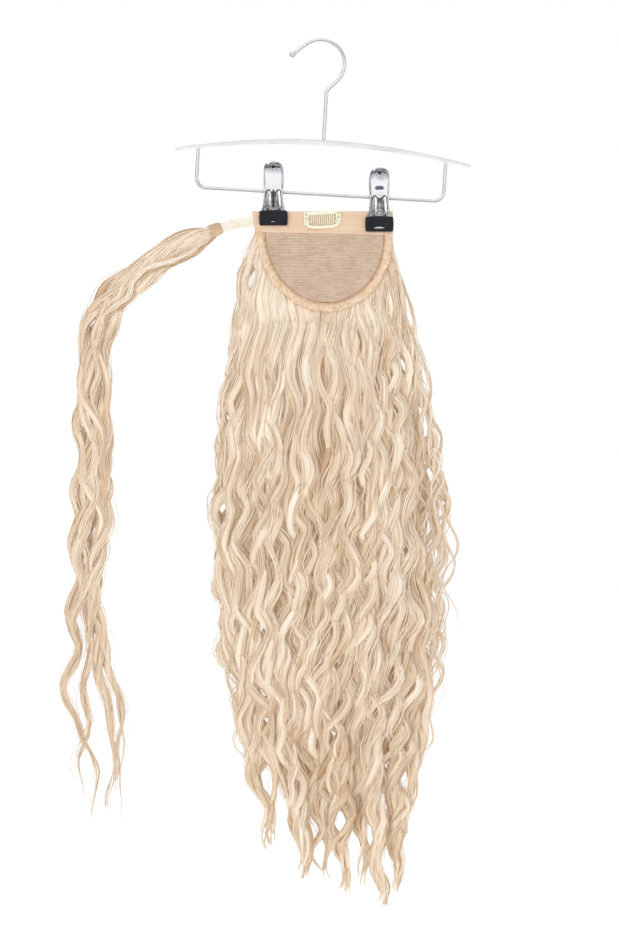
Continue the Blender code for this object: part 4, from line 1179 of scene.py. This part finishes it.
sheen = {"Sheen_Weight": 0.25, "Sheen_Roughness": 0.35, "Specular_IOR_Level": 0.4}
# The hair glows faintly in its own colour: painted light that lifts the shade between strands.
hair, place = new_finish("blond_hair", Emission_Strength=0.15, **sheen)
shade_value = place.node("Attribute", {"attribute_name": "shade"}, out=2)
fibre_place = place.node("Attribute", {"attribute_name": "fibre"}, out=1)
streak = grain(fibre_place, (0.85, 0.85, 42.0), 2)
drift = grain(fibre_place, (20.0, 20.0, 70.0), 2)
region = grain(place, (0.06, 0.06, 0.16), 2)
hair_tone = shade_value * 0.5 + streak * 1.05 + drift * 0.36 + region * 0.3 - 0.63
blonds = [(0.05, "B6946F"), (0.25, "D0B391"), (0.45, "E4CFB5"), (0.65, "F0E2CE"), (0.9, "F9F2E8")]
hair_colour = between(hair_tone, blonds)
feed(
    hair,
    Base_Color=hair_colour,
    Emission_Color=hair_colour,
    Roughness=streak * 0.2 + 0.32,
    Normal=relief(streak, 0.00012),
)

core, thread = round_section(6), round_section(3)
STRANDS, SIDE_STRANDS, LOOSE = 7, 4, 60
for number, chosen in enumerate(np.array_split(np.arange(LOCKS), 5)):
    guides, width, tones = fall_guides[chosen], fall_width[chosen], fall_tone[chosen]
    paths = parted(strands_round(guides, width, STRANDS, (0.5, 2.0), 100 + number), GAPS, 0.3)
    radius = strand_radius(0.4, 0.78, len(paths))
    sets = [
        (guides, width * 1.1, width * 0.42, core, fall_turn[chosen], tones),
        (paths, radius, radius, thread, 0.0, strand_tones(tones, STRANDS, 0.14)),
    ]
    hair_piece(f"hair_fall_locks_{number}", sets, ["hair_fall"])

# The inner locks take the same painted shade and light of the spots.
inner_tone = 0.38 + painted_spots(inner_guides)
inner = (inner_guides, inner_width, inner_width * 0.4, round_section(8), 0.0, inner_tone)
hair_piece("hair_fall_inner_locks", [inner], ["hair_fall"])

side_tone = 0.6 + 0.12 * chance.normal(0, 1, (len(side_guides), 1))
paths = parted(strands_round(side_guides, side_width, SIDE_STRANDS, (0.4, 1.6), 300), GAPS, 0.2)
radius = strand_radius(0.35, 0.6, len(paths))
loose = chance.choice(LOCKS, LOOSE, replace=False)
loose_paths = strands_round(fall_guides[loose], np.full((LOOSE, RINGS), 5.5), 1, (0.5, 1.3), 301)
sets = [
    (side_guides, side_width * 0.7, side_width * 0.4, round_section(4), 0.0, side_tone),
    (paths, radius, radius, thread, 0.0, strand_tones(side_tone, SIDE_STRANDS, 0.14)),
    (loose_paths, 0.28, 0.28, thread, 0.0, chance.uniform(0.4, 0.9, (LOOSE, 1))),
]
hair_piece("hair_fall_side_locks", sets, ["hair_fall"])


# Wrap lock. One long thick lock that is wound round a ponytail to hide its root: it leaves its bound
# end combed smooth, bends over, and hangs in the same waves to four thin ends.
WRAP_ROWS = np.array([
    # x, z, width, depth
    (-90.9, -162.9, 6, 4),
    (-96.5, -165.0, 9, 6),
    (-114.6, -171.7, 16.5, 9),
    (-136, -187, 24, 12),
    (-160.5, -207.2, 28, 14),
    (-181, -228, 30, 16),
    (-193, -250, 31, 17),
    (-196.5, -280, 31, 18),
    (-197, -325, 33, 19),
    (-199.5, -385, 34, 19),
    (-201, -440, 34, 18),
    (-200, -490, 34, 17),
    (-197, -530, 30, 14),
    (-194, -570, 26, 11),
    (-192, -620, 22, 9),
    (-190, -690, 18, 7),
], float)
WRAP_ENDS = (
    (
        *((-203, -462), (-218, -490), (-210, -525), (-220, -562)),
        *((-206, -596), (-191, -622), (-195, -650), (-196, -678)),
    ),
    ((-196, -500), (-202, -562), (-202, -595), (-208, -625), (-205, -656)),
    ((-193, -500), (-189, -560), (-180, -604), (-182, -643), (-184, -671)),
    ((-192, -500), (-183, -552), (-172, -590), (-177, -620), (-178, -640), (-173, -660), (-177, -683)),
)
WRAP_LOCKS, WRAP_STRANDS, WRAP_LOOSE = 16, 8, 2
GOLDEN_ANGLE, WRAP_PERIOD, TWIST_PERIOD = 2.39996, 58.0, 210.0
wrap_walk = way_along(WRAP_ROWS[:, :2])
spot = chance.permutation(WRAP_LOCKS)
radial = np.sqrt((spot + 0.5) / WRAP_LOCKS)[:, None]
bearing = (spot * GOLDEN_ANGLE)[:, None]
offset = radial * np.cos(bearing)
which = np.argmin(np.abs(offset - [-0.65, -0.2, 0.2, 0.65]), axis=1)
wrap_guides, wrap_width, wrap_tone = [], [], []
for number in range(WRAP_LOCKS):
    end_line = smooth_path(WRAP_ENDS[which[number]], 60)
    stop_z = end_line[-1, 1] + (chance.uniform(0, 10) if number % 3 == 0 else chance.uniform(5, 95))
    path = smooth_through(wrap_walk, WRAP_ROWS, np.linspace(0, wrap_walk[-1], 600))
    path = path[path[:, 1] > stop_z]
    steps = way_along(path[:, :2])
    run = np.linspace(0, steps[-1], RINGS)
    path = np.stack([np.interp(run, steps, path[:, k]) for k in range(4)], axis=1)
    along = np.gradient(path[:, :2], axis=0)
    side = np.stack([-along[:, 1], along[:, 0]], axis=1) / np.linalg.norm(along, axis=1)[:, None]
    part = eased(-path[:, 1], 440.0, 540.0)
    end_x = np.interp(-path[:, 1], -end_line[:, 1], end_line[:, 0])
    growth = eased(run, 15, 120) * (0.55 + 0.45 * eased(run, 120, 300))
    theta = 2 * math.pi * run / WRAP_PERIOD + 0.9 * which[number] + chance.normal(0, 0.7)
    wave = growth * (4.0 * np.sin(theta) + 2.2 * np.sin(run / 19.0 + number * 1.3))
    turning = (1.0 if number % 2 else -0.8) * (2 * math.pi / TWIST_PERIOD) * run
    twist = bearing[number] + turning * chance.uniform(0.6, 1.3)
    across = radial[number] * np.cos(twist) * path[:, 2] * 0.42 * (1 - part)
    x = path[:, 0] + side[:, 0] * (across + wave)
    z = path[:, 1] + side[:, 1] * (across + wave)
    x = x * (1 - part) + (end_x + wave * 0.6 + 3.0 * offset[number]) * part
    y = radial[number] * np.sin(twist) * path[:, 3] * 0.36 * (1 - 0.6 * part) + 1.8 * growth * np.cos(theta)
    wrap_guides.append(np.stack([x, y, z], axis=1))
    half_width = np.interp(run, (0, 8, 30, 60, 200, 330), (1.1, 1.5, 2.2, 2.8, 2.9, 2.5))
    wrap_width.append(half_width * tapered(run / run[-1], 0.3, 0.06))
    # Painted highlight and shade: a light band along the lock's ridge near its bound end, lighter wave
    # crests, and darker locks where they twist to the back.
    off_ridge = across / path[:, 2] * 2 + 0.45 * np.sin(run / 24.0 - 0.4)
    painted_shine = np.exp(-((off_ridge / 0.4) ** 2)) * eased(run, 15, 40) * (1 - eased(run, 110, 150))
    own_tone = 0.37 + 0.14 * chance.normal() + 0.2 * painted_shine
    wrap_tone.append(own_tone + 0.14 * growth * np.sin(theta + 1.0) - 0.12 * np.sin(twist))

# A lock coloured light as a painted highlight sweeps over the wrap lock from its lower edge, with a lock
# coloured dark just below it as its painted shadow.
SWEEP = (
    *((-92, -165.5), (-108.6, -180), (-129, -190.5), (-149, -196), (-160, -205.5), (-166, -221)),
    *((-186, -236.5), (-191, -252), (-195, -268), (-192, -286), (-198, -306), (-191, -330), (-196, -356)),
)
for lower, half_width, tone_at, y in ((0.0, 1.5, 0.86, -7.4), (2.6, 1.2, 0.05, -6.2)):
    line = smooth_path(np.array(SWEEP) + (0.5 * lower, -lower), RINGS)
    run = np.linspace(0, 1, RINGS)
    stand_off = y * eased(run, 0.03, 0.2) * (1 - 0.8 * eased(run, 0.75, 1.0))
    wrap_guides.append(np.stack([line[:, 0], stand_off, line[:, 1]], axis=1))
    wrap_width.append(half_width * np.clip(run / 0.1, 0.5, 1) * tapered(run, 0.4, 0.06))
    wrap_tone.append(tone_at + (0.5 - tone_at) * eased(run, 0.4, 0.8))
WRAP_GAP = [(-196.5, -242, 3.0, 11)]
wrap_guides, wrap_width, wrap_tone = np.stack(wrap_guides), np.stack(wrap_width), np.stack(wrap_tone)
wrap_guides = parted(wrap_guides, WRAP_GAP, 3.2)
paths = strands_round(wrap_guides, wrap_width, WRAP_STRANDS, (0.5, 1.35), 400)
paths = parted(paths, WRAP_GAP, 0.3)
radius = strand_radius(0.5, 0.85, len(paths))
loose_width = np.tile(4.5 * eased(np.arange(RINGS), 4, 20), (12, 1))
loose_paths = strands_round(wrap_guides[:12], loose_width, WRAP_LOOSE, (0.6, 1.5), 401)
wrap_turn = 0.5 * np.sin(np.arange(RINGS)[None, :] / 3.2 + np.arange(len(wrap_guides))[:, None] * 1.9)
sets = [
    (wrap_guides, wrap_width * 1.05, wrap_width * 0.45, core, wrap_turn, wrap_tone),
    (paths, radius, radius, thread, 0.0, strand_tones(wrap_tone, WRAP_STRANDS, 0.08)),
    (loose_paths, 0.26, 0.26, thread, 0.0, chance.uniform(0.4, 0.9, (len(loose_paths), 1))),
]
hair_piece("wrap_lock_strands", sets, ["wrap_lock"])


# Floor, backdrop and lights. A plain white floor that runs out of sight, a broad soft lamp high on the
# left, a weaker one on the right, and an even white surround that is darker behind the camera.
angle = np.arange(96) * 2 * math.pi / 96
floor_mesh = bpy.data.meshes.new("floor")
floor_mesh.from_pydata([(9 * math.cos(a), 9 * math.sin(a), -0.84) for a in angle], [], [tuple(range(96))])
glow = {"Emission_Color": (1, 1, 1, 1), "Emission_Strength": 0.35}
paper_white, place = new_finish("paper_white", Roughness=0.9, **glow)
fibres = grain(place, (0.4, 0.4, 0.4), 3)
feed(paper_white, Base_Color=between(fibres, [(0.3, "F4F4F4"), (0.7, "F8F8F8")]))
floor_mesh.materials.append(paper_white)
floor = bpy.data.objects.new("floor", floor_mesh)
bpy.context.scene.collection.objects.link(floor)


# Grey card under the camera's side, white along its middle, that only polished metal mirrors.
card_mesh = bpy.data.meshes.new("mirrored_card")
card_corners = [(-3, 0.08, -0.8), (3, 0.08, -0.8), (3, -3.6, -0.7), (-3, -3.6, -0.7)]
card_mesh.from_pydata(card_corners, [], [(0, 3, 2, 1)])
glow = {"Base_Color": (0.02, 0.02, 0.02, 1), "Emission_Strength": 1.0}
card_grey, place = new_finish("card_grey", Roughness=0.9, **glow)
card_x = place.part(0)
across_stops = [(0.3, "FFFFFF"), (0.46, "8A8C92"), (0.64, "4E5056"), (0.9, "C4C5C9")]
along_stops = [
    *((0.1, "4A4C52"), (0.17, "F2F2F3"), (0.42, "FFFFFF")),
    *((0.47, "4B4F5E"), (0.84, "4B4F5E"), (0.9, "8C8D92")),
]
across_card = between((card_x * card_x) ** 0.5 * 0.4, across_stops)
along_card = between(place.part(1) * -0.25, along_stops)
product = {"data_type": "RGBA", "blend_type": "MULTIPLY"}
both = {0: 1.0, 6: across_card, 7: along_card}
feed(card_grey, Emission_Color=place.node("Mix", product, both, out=2))
card_mesh.materials.append(card_grey)
card = bpy.data.objects.new("mirrored_card", card_mesh)
bpy.context.scene.collection.objects.link(card)
card.visible_camera = card.visible_diffuse = card.visible_shadow = card.visible_transmission = False


def soft_lamp(name, place, aim, size, power):
    """A square lamp at a place, turned towards the point it lights."""
    lamp = bpy.data.lights.new(name, "AREA")
    lamp.shape, lamp.size, lamp.energy = "SQUARE", size, power
    made = bpy.data.objects.new(name, lamp)
    made.location = place
    heading = np.array(aim, float) - np.array(place, float)
    heading /= np.linalg.norm(heading)
    made.rotation_euler = (math.acos(-heading[2]), 0.0, math.atan2(heading[1], heading[0]) - math.pi / 2)
    made.visible_camera = False
    bpy.context.scene.collection.objects.link(made)


soft_lamp("key_lamp", (-1.5, -2.6, 1.2), (0, 0, -0.35), 1.6, 34.0)
soft_lamp("fill_lamp", (2.2, -2.0, 0.2), (0, 0, -0.4), 2.0, 14.0)

world = bpy.data.worlds.new("white_room")
world.use_nodes = True
bpy.context.scene.world = world
tree = world.node_tree
direction = Reading(tree, tree.nodes.new("ShaderNodeTexCoord").outputs["Generated"])
sideways = direction.part(0)
aside = (sideways * sideways) ** 0.5
lit_stops = [(0.0, "6A6A6C"), (0.18, "8F8F92"), (0.42, "E0E0E2"), (0.6, "FFFFFF")]
mirrored_stops = [
    *((0.0, "FFFFFF"), (0.14, "F0F0F2"), (0.24, "8C8D92"), (0.35, "B4B5B9")),
    *((0.56, "84868C"), (0.7, "54565C"), (0.84, "9A9CA2"), (1.0, "F4F4F6")),
]
lit = between(direction.part(1) * 0.5 + 0.5, lit_stops)
mirrored = between(aside * 0.8 - direction.part(2) * 0.4 + 0.2, mirrored_stops)
gloss = direction.node("LightPath", out="Is Glossy Ray")
seen_directly = direction.node("LightPath")
shown = lit.node("Mix", {"data_type": "RGBA"}, {0: gloss, 6: lit, 7: mirrored}, out=2)
seen = lit.node("Mix", {"data_type": "RGBA"}, {0: seen_directly, 6: shown, 7: (1.0, 1.0, 1.0, 1.0)}, out=2)
background = tree.nodes["Background"]
tree.links.new(seen.socket, background.inputs["Color"])
background.inputs["Strength"].default_value = 1.0
bpy.context.scene.view_settings.view_transform = "Standard"
